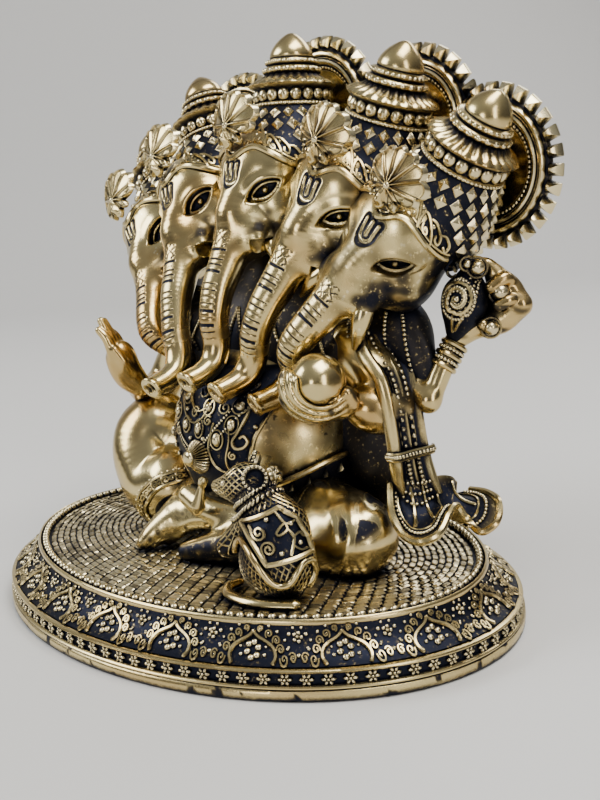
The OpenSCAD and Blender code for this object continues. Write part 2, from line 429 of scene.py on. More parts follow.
def mix_rgb(nt, fac, a, b):
    n = nt.nodes.new("ShaderNodeMix")
    n.data_type = "RGBA"
    link(nt, fac, n.inputs[0])
    for i, x in ((6, a), (7, b)):
        if isinstance(x, tuple):
            n.inputs[i].default_value = (*x, 1)
        else:
            link(nt, x, n.inputs[i])
    return n.outputs[2]


def noise(nt, coord, scale, detail=3.0, rough=0.55):
    n = nt.nodes.new("ShaderNodeTexNoise")
    n.inputs["Scale"].default_value = scale
    n.inputs["Detail"].default_value = detail
    n.inputs["Roughness"].default_value = rough
    link(nt, coord, n.inputs["Vector"])
    return n.outputs["Fac"]


PALE = (0.66, 0.53, 0.25)
WARM = (0.46, 0.28, 0.09)
INK = (0.012, 0.014, 0.024)


def brass(name, reach=3.0, open_lo=0.30, open_hi=0.80, stain=0.25, rough=0.24, warm=0.35, pits=0.06):
    """Rubbed antique gold over blue-black patina. The patina stays wherever a hollow shields it
    (reach in mm) and in scattered pits; on keen edges the gold turns paler, a painted highlight as well as
    rubbed wear."""
    mat = bpy.data.materials.new(name)
    nt, bsdf = nodes_of(mat)
    coord = nt.nodes.new("ShaderNodeTexCoord").outputs["Object"]
    ao = nt.nodes.new("ShaderNodeAmbientOcclusion")
    ao.samples = 6
    ao.inputs["Distance"].default_value = reach * MM
    blot = noise(nt, coord, 90.0, 4.0, 0.6)
    fine = noise(nt, coord, 900.0, 3.0, 0.6)
    tone = noise(nt, coord, 38.0, 3.0, 0.5)
    shade = math_node(nt, "ADD", ao.outputs["AO"],
                      math_node(nt, "MULTIPLY", math_node(nt, "SUBTRACT", blot, 0.5), stain * 1.6))
    shade = math_node(nt, "ADD", shade,
                      math_node(nt, "MULTIPLY", math_node(nt, "SUBTRACT", fine, 0.5), stain * 0.9))
    clean = ramp(nt, shade, open_lo, open_hi)
    # the per-vertex darkening attribute holds patina and, on some parts, painted shade
    old = nt.nodes.new("ShaderNodeAttribute")
    old.attribute_name = "patina_and_shade"
    dust = ramp(nt, noise(nt, coord, 700.0, 4.0, 0.7), 0.54, 0.72, 1.0, 0.45)
    old = math_node(nt, "MULTIPLY", old.outputs["Fac"], dust)
    clean = math_node(nt, "MULTIPLY", clean, math_node(nt, "SUBTRACT", 1.0, old), True)
    # painted highlight as well as rubbed wear: keen edges mix the gold towards pale champagne
    edge = nt.nodes.new("ShaderNodeNewGeometry").outputs["Pointiness"]
    edge = ramp(nt, edge, 0.50, 0.56)
    gold = mix_rgb(nt, ramp(nt, tone, 0.42, 0.68, 0.0, warm), PALE, WARM)
    gold = mix_rgb(nt, math_node(nt, "MULTIPLY", edge, 0.5), gold, (0.90, 0.80, 0.52))
    halfway = mix_rgb(nt, ramp(nt, clean, 0.0, 0.5), INK, (0.10, 0.078, 0.042))
    colour = mix_rgb(nt, ramp(nt, clean, 0.3, 0.75), halfway, gold)
    link(nt, colour, bsdf.inputs["Base Color"])
    link(nt, ramp(nt, clean, 0.1, 0.9, 0.5, rough), bsdf.inputs["Roughness"])
    bsdf.inputs["Metallic"].default_value = 1.0
    bump = nt.nodes.new("ShaderNodeBump")
    bump.inputs["Strength"].default_value = pits
    bump.inputs["Distance"].default_value = 0.4 * MM
    link(nt, noise(nt, coord, 450.0, 4.0, 0.6), bump.inputs["Height"])
    link(nt, bump.outputs["Normal"], bsdf.inputs["Normal"])
    return mat


SMOOTH = brass("rubbed_gold", reach=4.5, open_lo=0.24, open_hi=0.62, stain=0.22, rough=0.21, warm=0.75,
               pits=0.07)
ORNAMENT = brass("ornament_gold", reach=3.0, open_lo=0.42, open_hi=0.86, stain=0.24, rough=0.23, warm=0.5)
DARK = brass("patina_gold", reach=4.0, open_lo=0.70, open_hi=0.99, stain=0.20, rough=0.26)
PLINTH = brass("plinth_gold", reach=3.0, open_lo=0.50, open_hi=0.95, stain=0.30, rough=0.26)


SHARP = 38                               # degrees; edges keener than this are shaded as edges


def piece(name, shape, mat, *nodes, slot=None):
    """Makes the Blender object for a shape; it stands for the CAD nodes given."""
    v, q, t = shape.arrays()
    mesh = bpy.data.meshes.new(name)
    mesh.vertices.add(len(v))
    mesh.vertices.foreach_set("co", (v * MM).astype(np.float32).ravel())
    loops = np.concatenate([q.ravel(), t.ravel()])
    mesh.loops.add(len(loops))
    mesh.loops.foreach_set("vertex_index", loops.astype(np.int32))
    totals = np.concatenate([np.full(len(q), 4), np.full(len(t), 3)])
    mesh.polygons.add(len(totals))
    starts = np.concatenate([[0], np.cumsum(totals)[:-1]])
    mesh.polygons.foreach_set("loop_start", starts.astype(np.int32))
    mesh.polygons.foreach_set("use_smooth", np.ones(len(totals), bool))
    mesh.update(calc_edges=True)
    mesh.attributes.new("patina_and_shade", "FLOAT", "POINT").data.foreach_set("value", shape.patina_and_shade_values().astype(np.float32))
    mesh.validate()
    mesh.set_sharp_from_angle(angle=math.radians(SHARP))
    mesh.materials.append(mat)
    ob = bpy.data.objects.new(name, mesh)
    bpy.context.collection.objects.link(ob)
    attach(ob, "root")
    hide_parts(*nodes)
    return ob


def fan(k):
    """Placement of head k: local x sideways, y depth, z distance from the fan point."""
    a = math.radians(LEANS[k])
    m = np.array([[math.cos(a), 0, math.sin(a)], [0, 1, 0], [-math.sin(a), 0, math.cos(a)]])
    return lambda v: v @ m.T + np.array([0, 0, FAN_Z])


# ---------------------------------------------------------------- stage, camera and light
CAM_AZ, CAM_EL, CAM_ROLL = 47.733, 11.418, -3.9       # degrees: turned from -Y, raised, tilted


def stage():
    """A pale floor that sweeps up into a wall behind the figure, square to the camera."""
    reach, bend, tall, wide = 0.9, 0.5, 2.4, 3.0
    turn = np.linspace(0, pi / 2, 16)
    line = [(-2.5, 0.0)] + [(reach + bend * math.sin(a), bend * (1 - math.cos(a))) for a in turn]
    line.append((reach + bend, tall))
    az = math.radians(CAM_AZ)
    away, across = np.array([-math.sin(az), math.cos(az)]), np.array([math.cos(az), math.sin(az)])
    rows = [[[*(away * d + across * w), z] for w in (-wide, wide)] for d, z in line]
    v, q = sweep(rows, closed_v=False)
    mesh = bpy.data.meshes.new("floor")
    mesh.from_pydata(v.tolist(), [], q[:, ::-1].tolist())
    mesh.polygons.foreach_set("use_smooth", [True] * len(mesh.polygons))
    floor = bpy.data.objects.new("floor", mesh)
    bpy.context.collection.objects.link(floor)
    mat = bpy.data.materials.new("floor")
    bsdf = nodes_of(mat)[1]
    bsdf.inputs["Base Color"].default_value = (0.60, 0.585, 0.56, 1)
    bsdf.inputs["Roughness"].default_value = 0.6
    mesh.materials.append(mat)


def camera():
    """Stands to the figure's left front, a little above it, with a slight tilt."""
    az, el, roll = (math.radians(x) for x in (CAM_AZ, CAM_EL, CAM_ROLL))
    distance, aside, aim_z = 365.6, 20.5, 63.7
    back = Vector((math.sin(az) * math.cos(el), -math.cos(az) * math.cos(el), math.sin(el)))
    right = Vector((math.cos(az), math.sin(az), 0))
    up = back.cross(right)
    at = right * aside + Vector((0, 0, aim_z)) + back * distance
    x = right * math.cos(roll) + up * math.sin(roll)
    y = up * math.cos(roll) - right * math.sin(roll)
    cam = bpy.data.cameras.new("camera")
    cam.lens, cam.sensor_width = 50, 36
    cam.clip_start, cam.clip_end = 0.01, 20
    ob = bpy.data.objects.new("camera", cam)
    m = Matrix((x, y, back)).transposed().to_4x4()
    m.translation = at * MM
    ob.matrix_world = m
    bpy.context.collection.objects.link(ob)
    bpy.context.scene.camera = ob


def lamp(name, at, size, power, colour=(1, 1, 1)):
    data = bpy.data.lights.new(name, "AREA")
    data.shape, data.size, data.size_y = "RECTANGLE", *size
    data.energy, data.color = power, colour
    ob = bpy.data.objects.new(name, data)
    ob.location = at
    ob.rotation_euler = (Vector((0, 0, 0.1)) - Vector(at)).to_track_quat("-Z", "Y").to_euler()
    bpy.context.collection.objects.link(ob)


def lights():
    lamp("window", (-0.9, -0.9, 0.9), (0.8, 0.8), 20, (0.95, 0.98, 1.0))
    lamp("overhead", (0.4, 0.1, 1.2), (0.9, 0.5), 17, (1.0, 0.99, 0.96))
    lamp("side", (1.3, -0.3, 0.5), (0.25, 0.9), 5, (1.0, 0.95, 0.88))
    lamp("front", (0.5, -1.3, 0.35), (0.3, 0.5), 3.5, (1.0, 0.97, 0.92))
    lamp("back", (-0.2, 1.1, 0.9), (1.0, 0.3), 6)
    world = bpy.data.worlds.new("world")
    bpy.context.scene.world = world
    world.use_nodes = True
    nt = world.node_tree
    bg = nt.nodes["Background"]
    z = nt.nodes.new("ShaderNodeSeparateXYZ")
    link(nt, nt.nodes.new("ShaderNodeTexCoord").outputs["Generated"], z.inputs[0])
    link(nt, mix_rgb(nt, ramp(nt, z.outputs[2], -0.1, 0.9), (0.10, 0.10, 0.11), (0.62, 0.65, 0.70)),
         bg.inputs["Color"])
    bg.inputs["Strength"].default_value = 0.5


COARSE = 1.0


# ---------------------------------------------------------------- one elephant head, in its own frame
SKULL = np.array([0, 21.5, 101.0])
SKULL_R = 16.7
EYE_IN, EYE_OUT = np.array([4.3, 7.5, 94.2]), np.array([14.0, 13.5, 99.8])
EYE = (EYE_IN + EYE_OUT) / 2
EYE_U = unit(EYE_OUT - EYE_IN)
EYE_N = unit(EYE - SKULL - np.dot(EYE - SKULL, EYE_U) * EYE_U)
EYE_V = np.cross(EYE_N, EYE_U)
EYE_HALF = np.linalg.norm(EYE_OUT - EYE_IN) / 2 - 0.8
LID_RHO = 15.5                      # distance of the lids from the middle of the skull
NECK_Z, NECK_LAP = 82.5, 0.5        # where the trunk is parted from the head; both reach past it
LADDER = (22, 50)                   # stretch of the trunk with lines across its front, mm from the root
HATCH = (15.5, 22.2)                # and the stretch with crossed wrinkles above it
MARK_Z = 101.8                      # height of the middle of the forehead mark's cup
TRUNK = [(9.5, 98, 4.4), (4.9, 91, 5.9), (4.4, 84, 6.3), (0.9, 76, 6.0), (-4.4, 66.7, 5.3),
         (-7.0, 57.5, 4.8), (-6.6, 49.8, 4.5), (-8.8, 43.9, 4.2), (-13.5, 41.0, 3.8), (-19.6, 39.4, 3.5)]


def lens(u, v, half, tall):
    """Distance to an almond outline of the given half length and half height."""
    r = (half ** 2 + tall ** 2) / (2 * tall)
    return np.maximum(np.hypot(u, v + r - tall), np.hypot(u, v - r + tall)) - r


def eye_coords(x, y, z):
    d = [x - EYE[0], y - EYE[1], z - EYE[2]]
    u, v = (sum(d[i] * e[i] for i in range(3)) for e in (EYE_U, EYE_V))
    return u, v, length(x - SKULL[0], y - SKULL[1], z - SKULL[2])


def along(P, pts, steps=64):
    """Distance to a tapered curve in the plane x = 0, and where along it each point lies."""
    line = spline(pts, steps)
    run = np.concatenate([[0], np.cumsum(np.linalg.norm(np.diff(line[:, :2], axis=0), axis=1))])
    best = None
    for i in range(len(line) - 1):
        (ya, za, ra), (yb, zb, rb) = line[i], line[i + 1]
        dy, dz = yb - ya, zb - za
        seg = math.hypot(dy, dz)
        t = np.clip(((P[1] - ya) * dy + (P[2] - za) * dz) / seg ** 2, 0, 1)
        oy, oz = P[1] - ya - t * dy, P[2] - za - t * dz
        d = length(P[0], oy, oz) - (ra + (rb - ra) * t)
        s = run[i] + t * seg
        front = (oy * dz - oz * dy) / seg
        if best is None:
            best = [d, s + 0 * d, front + 0 * d]
        else:
            near = d < best[0]
            best = [np.minimum(d, best[0]), np.where(near, s, best[1]), np.where(near, front, best[2])]
    return best


def groove(dist, half, depth):
    """A soft-edged cut of the given half width, as a depth to add to a field."""
    t = np.clip(1 - np.abs(dist) / half, 0, 1)
    return depth * t * t * (3 - 2 * t)


def pulse(s, pitch):
    return np.abs((s / pitch + 0.5) % 1 - 0.5) * pitch


def head_form(P):
    """Skull, cheeks and the broad root of the trunk, without fine cuts."""
    Q = both_sides(P)
    d = egg(Q, (0, 21.5, 101.3), (16.8, 17.0, 16.6))
    d = blend(d, egg(Q, (0, 22, 84), (13.0, 12.0, 13)), 8)
    d = blend(d, egg(Q, (8.0, 18.6, 90.2), (9.4, 10.0, 9.8)), 4.5)
    d = blend(d, egg(Q, (5.5, 9.5, 82.5), (4.0, 5.5, 6.5)), 4.0)
    d = blend(d, chain(Q, [(6.0, 10.5, 88), (7.6, 7.6, 84.4), (9.3, 6.0, 80.8)], [4.4, 4.0, 2.9], 8), 2.0)
    return d


def forehead_mark(x, z):
    """Distance to the strokes of the mark, and how far the field around them is cut away (0 to 1)."""
    half, top = 2.2, 105.6                              # half width of the cup, height its arms reach
    cup = np.where(z < MARK_Z, np.abs(np.hypot(x, z - MARK_Z) - half),
                   np.hypot(x - half - 0.08 * (z - MARK_Z), np.maximum(z - top, 0)))
    middle = np.hypot(x, np.maximum(np.abs(z - 103.6) - 2.0, 0))
    stroke = np.minimum(cup, middle - 0.1)
    return stroke, groove(stroke, 1.9, 1.0)


def engraving(P, s, front):
    """Depth, 0 to 1, of the trunk's fine lines: crossed wrinkles at its top, then a ladder down its front."""
    wide = np.clip((3.5 - np.abs(P[0] - 0.3)) / 0.4, 0, 1) * (front > 0.15)
    def within(span):
        return np.clip((s - span[0]) * 2, 0, 1) * np.clip((span[1] - s) * 2, 0, 1)
    ladder = groove(pulse(s, 1.9), 0.38, 1.0) * within(LADDER)
    hatch = np.maximum(groove(pulse(s + P[0] * 0.7, 2.9), 0.30, 0.9),
                       groove(pulse(s - P[0] * 1.0, 4.3), 0.28, 0.9))
    hatch = hatch * within(HATCH)
    seam = groove(P[2] - NECK_Z + 0.35 * P[0], 0.35, 1.0) * (P[1] < 3) * 0.1
    return np.maximum(np.maximum(ladder, hatch) * wide, seam)


def head_patina_and_shade(p):
    """Patina left in the eye sockets, around the forehead mark and in the trunk's engraving, and painted
    shade towards the back of the head and on the outer cheek, broken into mottled tarnish.
    """
    P = p.T
    x = np.abs(P[0])
    u, v, rho = eye_coords(x, P[1], P[2])
    socket = np.clip(-lens(u, v - 0.5, EYE_HALF + 0.7, 2.9) * 3, 0, 1)
    socket = socket * np.clip((LID_RHO - 0.35 - rho) * 3, 0, 1)
    pupil = np.clip((length(u, v, rho - LID_RHO + 1.0) - 1.1) * 6, 0, 1)
    stroke, cut = forehead_mark(x, P[2])
    mark = np.clip(cut * 5, 0, 1) * np.clip((stroke - 0.5) * 6, 0, 1) * (P[1] < 12)
    _, s, front = along(P, TRUNK)
    tip = np.clip(1.5 - np.hypot(x - 1.15, P[2] - TRUNK[-1][1]), 0, 1) * (P[1] < TRUNK[-1][0] + 1.0)
    # painted shade: darker towards the back of the head, where the heads sit behind one another, and on the
    # outer cheek; mottle breaks it into tarnish
    shade_and_tarnish = np.clip((P[1] - 15) / 6, 0, 1) + np.exp(-((x - 13) / 6) ** 2 - ((P[2] - 87) / 7) ** 2)
    shade_and_tarnish = np.maximum(np.clip(shade_and_tarnish * (0.72 + 0.4 * mottle(P, 8.0)), 0, 0.88),
                         0.16 + 0.2 * mottle(P, 12.0, 2))
    shade_and_tarnish = np.maximum(shade_and_tarnish, 0.36 * (front > 1) * (np.abs(P[0]) < 3.6) * (P[2] < 80) * (P[2] > 52))
    old = np.maximum(np.maximum(socket * pupil, mark), np.maximum(1.5 * engraving(P, s, front), tip))
    old = np.maximum(old, shade_and_tarnish)
    return np.clip(old, 0, 1) * 0.95


def head_field(P):
    x, y, z = np.abs(P[0]), P[1], P[2]
    d = head_form(P)
    tr, s, front = along(P, TRUNK)
    d = blend(d, tr, 6.0)
    # brow, almond recess, lids and pupil
    u, v, rho = eye_coords(x, y, z)
    brow = np.hypot(lens(u, v - 0.5, EYE_HALF + 1.5, 3.7), (rho - 16.0) * 0.8) - 0.9
    brow = np.where(v > -1.2, brow, brow + (-1.2 - v) * 1.2)
    d = blend(d, brow, 2.2)
    pit = np.maximum(lens(u, v - 0.5, EYE_HALF + 0.7, 2.9), LID_RHO - 1.6 - rho)
    d = carve(d, pit, 0.9)
    lid = np.hypot(lens(u, v, EYE_HALF - 0.2, 2.05), rho - LID_RHO + 0.25) - 0.42
    d = blend(d, lid, 0.3)
    inner = np.hypot(lens(u, v, EYE_HALF - 2.0, 1.15), rho - LID_RHO + 1.15) - 0.18
    d = blend(d, inner, 0.25)
    d = blend(d, length(u, v, (rho - LID_RHO + 1.0)) - 1.05, 0.3)
    # forehead mark: a trident of strokes above a dot, standing in a cut field
    stroke, cut = forehead_mark(x, z)
    d = d + 0.8 * cut * (y < 14)
    d = blend(d, np.hypot(stroke, rho - SKULL_R - 0.1) - 0.74 + np.where(y < 14, 0, 5), 0.25)
    d = blend(d, ball(P, (0, 6.1, 97.0), 1.15), 0.3)
    d = d + 0.28 * engraving(P, s, front)
    # the open tip
    tip, before = np.array([0, *TRUNK[-1][:2]]), np.array([0, *TRUNK[-2][:2]])
    out = unit(tip - before)
    ahead = (P[1] - tip[1]) * out[1] + (P[2] - tip[2]) * out[2]
    aside = (P[1] - tip[1]) * -out[2] + (P[2] - tip[2]) * out[1]
    d = -blend(-d, -(ahead - 1.2 + 0.25 * aside), 1.2)
    d = blend(d, np.hypot(np.hypot(P[0], aside * 0.88) - 2.9, ahead - 0.5 + 0.25 * aside) - 0.45, 1.4)
    hollow = length(x - 1.15, aside * 0.85, (ahead - 1.3) * 0.6) - 1.15
    return carve(d, hollow, 0.7)


def skull_field(P):
    return np.maximum(head_field(P), NECK_Z - NECK_LAP - P[2])


def trunk_field(P):
    return np.maximum(head_field(P), P[2] - NECK_Z - NECK_LAP)


def tusk_field(P):
    Q = both_sides(P)
    return chain(Q, [(7.2, 9.0, 85), (9.2, 6.2, 81), (11.2, 4.9, 76.5), (13.0, 4.5, 70.2)],
                 [2.6, 3.1, 2.7, 0.9], 24)


# ---------------------------------------------------------------- the crown, in the frame of its head
CROWN_Y, CROWN_Z, CROWN_TILT = 32.5, 104, math.radians(3)      # foot of its axis, and how far it leans back


def crown_to_head(v):
    """Turns crown coordinates (axis +z through x = y = 0) into the head's."""
    c, s = math.cos(CROWN_TILT), math.sin(CROWN_TILT)
    v = np.asarray(v, float)
    z = v[..., 2] - CROWN_Z
    return np.stack([v[..., 0], v[..., 1] * c + z * s + CROWN_Y, z * c - v[..., 1] * s + CROWN_Z], -1)


# the crown's ground, an oval cone that leans back: height, middle depth, half depth, half width
OVAL = np.array([(97, 27.0, 20.6, 17.2), (104, 28.0, 20.4, 17.9), (112, 29.6, 18.6, 16.8),
                 (118, 31.4, 15.8, 14.8), (124, 33.5, 12.2, 12.2)])


CAP_Y, CAP_R = 22.2, 16.8                # middle and radius of the close cap over the forehead


def oval_at(z):
    return [np.interp(z, OVAL[:, 0], OVAL[:, i]) for i in (1, 2, 3)]


def cap_form(P):
    """The crown's rounded ground: the oval cone, and a close cap over the forehead."""
    mid, deep, wide = oval_at(P[2])
    r = np.hypot(P[0] / wide, (P[1] - mid) / deep)
    cone = np.maximum((r - 1) * np.minimum(deep, wide) * 0.95, np.maximum(P[2] - 124.5, 98 - P[2]))
    cap = egg(P, (0, CAP_Y, 106.0), (16.9, 16.7, 8.6))
    return np.maximum(blend(cone, cap, 3), P[1] - 48.2)


def cap_field(P):
    """The ground, cut along the forehead band so that the brow below it stays bare."""
    return np.maximum(cap_form(P), np.minimum(band_curve(P[0]) - 0.2 - P[2], 24 - P[1]))


def band_curve(x):
    """Height of the forehead band at a sideways distance: an arch over each eye."""
    x = np.abs(x)
    return 110.6 - 3.0 * np.exp(-(x / 4.0) ** 2) - 0.075 * np.maximum(x - 7.0, 0) ** 2


def on_cap(sz):
    """Points on the cap: s mm around it from its front, and z high."""
    sz = np.asarray(sz, float)
    a = sz[:, 0] / CAP_R
    spoke = np.stack([np.sin(a), -np.cos(a), 0 * a], -1)
    start = spoke * (CAP_R + 9) + np.stack([0 * a, CAP_Y + 0 * a, sz[:, 1]], -1)
    return march(cap_form, start, -spoke)


def band_at(s):
    """Height of the forehead band s mm around the cap."""
    return band_curve(CAP_R * np.sin(np.asarray(s, float) / CAP_R))


def curl(c, r, start, turns, n=22, shrink=0.15):
    """A flat spiral about c that winds inward, as (x, z) points."""
    t = np.linspace(0, 1, n)
    a = start + turns * 2 * pi * t
    rr = r * (1 - (1 - shrink) * t)
    return np.stack([c[0] + rr * np.cos(a), c[1] + rr * np.sin(a)], -1)


def crown_shape():
    s = sculpt(cap_field, (-20, 3, 97), (20, 50, 126), 0.6 * COARSE, patina_and_shade=0.95)
    # mouldings above the lattice
    prof = [(11.5, 122.4), (12.9, 122.8), (13.3, 123.4), (12.9, 124.0), (11.9, 124.4), (11.6, 125.2),
            (11.8, 127.6), (12.6, 128.6), (13.9, 129.2), (14.5, 129.9), (14.0, 130.5), (12.6, 130.9),
            (11.2, 131.3), (10.0, 132.0), (9.2, 132.8), (8.6, 133.3), (8.9, 133.6), (9.5, 134.2),
            (9.6, 134.9), (9.2, 135.5), (8.4, 135.8), (8.0, 136.1), (8.5, 136.5), (8.75, 137.2),
            (8.4, 137.9), (7.5, 138.2), (7.0, 138.4), (7.25, 138.9), (7.1, 140.0), (6.6, 141.3),
            (5.8, 142.6), (4.7, 143.9), (3.4, 145.1), (2.2, 146.0), (1.1, 146.6), (0.05, 146.8)]
    old = {8: 0.5, 9: 0.2, 14: 0.9, 15: 0.9, 16: 0.6, 20: 0.7, 21: 1.0, 22: 0.6, 26: 1.0, 27: 0.4, 4: 0.8,
           5: 1, 6: 1, 7: 0.8, 12: 0.4, 13: 0.7}                # rows of the profile that lie in shelter
    flute = 24
    body = Shape()
    a = circle(216)
    rows = []
    for i, (r, z) in enumerate(prof):
        nick = 1 + 0.016 * np.cos(flute * a) * (128.8 < z < 130.8)
        lift = (0.8 * np.abs(np.cos(flute / 2 * a)) - 0.3) * (130.8 < z < 133)
        rows.append(np.stack([r * nick * np.cos(a), r * nick * np.sin(a), z + lift], -1))
    v, q = sweep(rows)
    body.add(v, q[:, ::-1], patina_and_shade=np.repeat([0.95 * old.get(i, 0) for i in range(len(prof))], len(a)))
    # lattice studs, staggered row by row, wherever the forehead's filigree leaves room
    around, step = 20, 3.8
    for row in range(6):
        z = 102.0 + row * step
        mid, deep, wide = oval_at(z)
        t = 2 * pi * (np.arange(around) + 0.5 * (row % 2)) / around
        p = np.stack([wide * np.sin(t), mid - deep * np.cos(t), z + 0 * t], -1)
        keep = (p[:, 2] > band_curve(p[:, 0]) + 5.0) | (p[:, 1] > 24)
        p, nm = snap(cap_form, p[keep & (p[:, 1] < 46)])
        stamp(s, GEM, p, nm, (0, 0, 1), (pi * (deep + wide) / around * 0.42, step * 0.60, 1.5))
    # gadroons: upright oval beads
    for n, r, z, tall, size in ((19, 11.5, 126.4, 0.12, (2.1, 2.5, 1.9)),
                                (60, 12.9, 123.4, 0, (0.72, 0.6, 0.6)),
                                (20, 8.9, 134.6, 0, (1.35, 1.0, 1.1)), (30, 8.2, 137.2, 0, (0.8, 0.7, 0.8))):
        t = 2 * pi * np.arange(n) / n
        out = np.stack([np.cos(t), np.sin(t), 0 * t + tall], -1)
        stamp(body, BEAD, out * (r, r, 0) + (0, 0, z), out, (0, 0, 1), size)
    s.join(body, crown_to_head)
    # forehead band, double edged, and the filigree that stands on it
    x = np.linspace(-25, 25, 110)
    for lift, dz, r in ((0.3, 0.0, 0.95), (0.35, 1.5, 0.42)):
        p, nm = snap(cap_form, on_cap(np.stack([x, band_at(x) + dz], -1)), lift)
        tube(s, p, r, 8, up=nm)
    for m in (-1, 1):
        def add(line, r=0.46, n=44):
            line = spline(line, n)
            line = np.stack([m * line[:, 0], band_at(line[:, 0]) + line[:, 1]], -1)
            p, nm = snap(cap_form, on_cap(line), 0.4)
            tube(s, p, r, 6, up=nm)
        # a row of arches with a curl in each, then a scroll that runs out towards the ear
        for c, wide, tall in ((4.8, 2.0, 3.4), (9.6, 2.6, 4.9), (15.0, 2.6, 4.9)):
            t = np.linspace(0, pi, 9)
            add(np.stack([c - wide * np.cos(t), 0.8 + tall * np.sin(t)], -1), 0.5)
            add(curl((c, 2.3), 1.2, 2.4, 1.2))
            for x, dz, r in ((c, 2.3, 0.7), (c + 2.7, tall + 0.2, 0.75)):
                beads(s, cap_form, on_cap([(m * x, band_at(x) + dz)]), r, 0.15)
        add([(16.8, 6.0), (18.8, 6.4), (20.4, 4.6), (19.8, 2.4), (18.6, 2.6), (18.8, 3.8)], 0.5, 50)
        add([(20.4, 5.0), (22.4, 5.6), (23.8, 3.8), (22.8, 1.8), (21.8, 2.8)], 0.46)
    return s


def crest_shape():
    """A fan of thin-ribbed petals above a boss, side petals outlined, the lowest one a smooth bud."""
    pivot = np.array([0, 6.4, 117.2])
    lean = math.radians(12)
    ex, ez = np.array([1.0, 0, 0]), np.array([0, math.sin(lean), math.cos(lean)])
    en = np.array([0, -math.cos(lean), math.sin(lean)])           # towards the front
    size, low = 11.8, 7.4
    ribs = np.radians([-157, -120, -88, -57, -29, -5, 20, 50, 84, 120, 157])
    ang = np.linspace(-pi, pi, 324, endpoint=False)
    span = np.interp(ang, np.r_[ribs[-1] - 2 * pi, ribs, ribs[0] + 2 * pi], np.arange(len(ribs) + 2.0))
    f = span % 1 - 0.5                                            # across a petal, -0.5 to 0.5
    upper = 1 / (1 + np.exp((np.abs(ang) - 1.75) / 0.12))
    reach = low + (size - low) * upper * (0.90 + 0.10 * np.cos(ang * 1.1))
    edge = reach * (1 - (0.13 + 0.30 * (1 - upper)) * (2 * np.abs(f)) ** 2)
    rows, patina_and_shade_values = [], []
    for q in np.linspace(0, 1, 34):
        r = q * edge
        off = np.abs(np.sin(ang[:, None] - ribs)) * r[:, None]
        off = np.where(np.cos(ang[:, None] - ribs) > 0, off, 9).min(1)
        rib = np.exp(-(off / 0.34) ** 2)
        bound = np.exp(-((q - 0.94) * edge / 0.40) ** 2)
        inner = np.exp(-((q - 0.66) * edge / 0.45) ** 2) * (off > 1.2) * (1 - upper)
        h = 2.3 - 1.3 * q ** 2 - 0.4 * q * np.cos(pi * f) + 0.95 * np.maximum(rib, bound) + 0.6 * inner
        bud = np.exp(-((np.abs(ang) - pi) / 0.28) ** 4)
        h = h * (1 - 0.5 * bud) + bud * 3.0 * np.sin(pi * min(q, 1)) ** 0.8
        h = np.where(q > 0.98, 0.2, h)
        rows.append(pivot + (r * np.sin(ang))[:, None] * ex + (r * np.cos(ang))[:, None] * ez
                    + h[:, None] * en)
        patina_and_shade_values.append(0.7 * np.exp(-((off - 0.75) / 0.28) ** 2) * (q < 0.88) * (q > 0.06) * (1 - bud))
    for q in (1.0, 0.8, 0.0):
        r = q * edge * 0.97
        rows.append(pivot + (r * np.sin(ang))[:, None] * ex + (r * np.cos(ang))[:, None] * ez
                    - (0.1 + 2.2 * (1 - q)) * en)
        patina_and_shade_values.append(0 * ang)
    v, q = sweep(rows)
    out = Shape().add(v, q, patina_and_shade=np.concatenate(patina_and_shade_values))
    stamp(out, BEAD, [pivot + 2.4 * en], en, ez, (1.3, 1.3, 1.3))
    v, q, _ = out.arrays()
    v[:, 1] += 0.020 * v[:, 0] ** 2               # the fan bends back around the crown
    return Shape().add(v, q, patina_and_shade=out.patina_and_shade_values())


HALO_C = np.array([0, 47.6, 121.5])      # middle of the halo disc


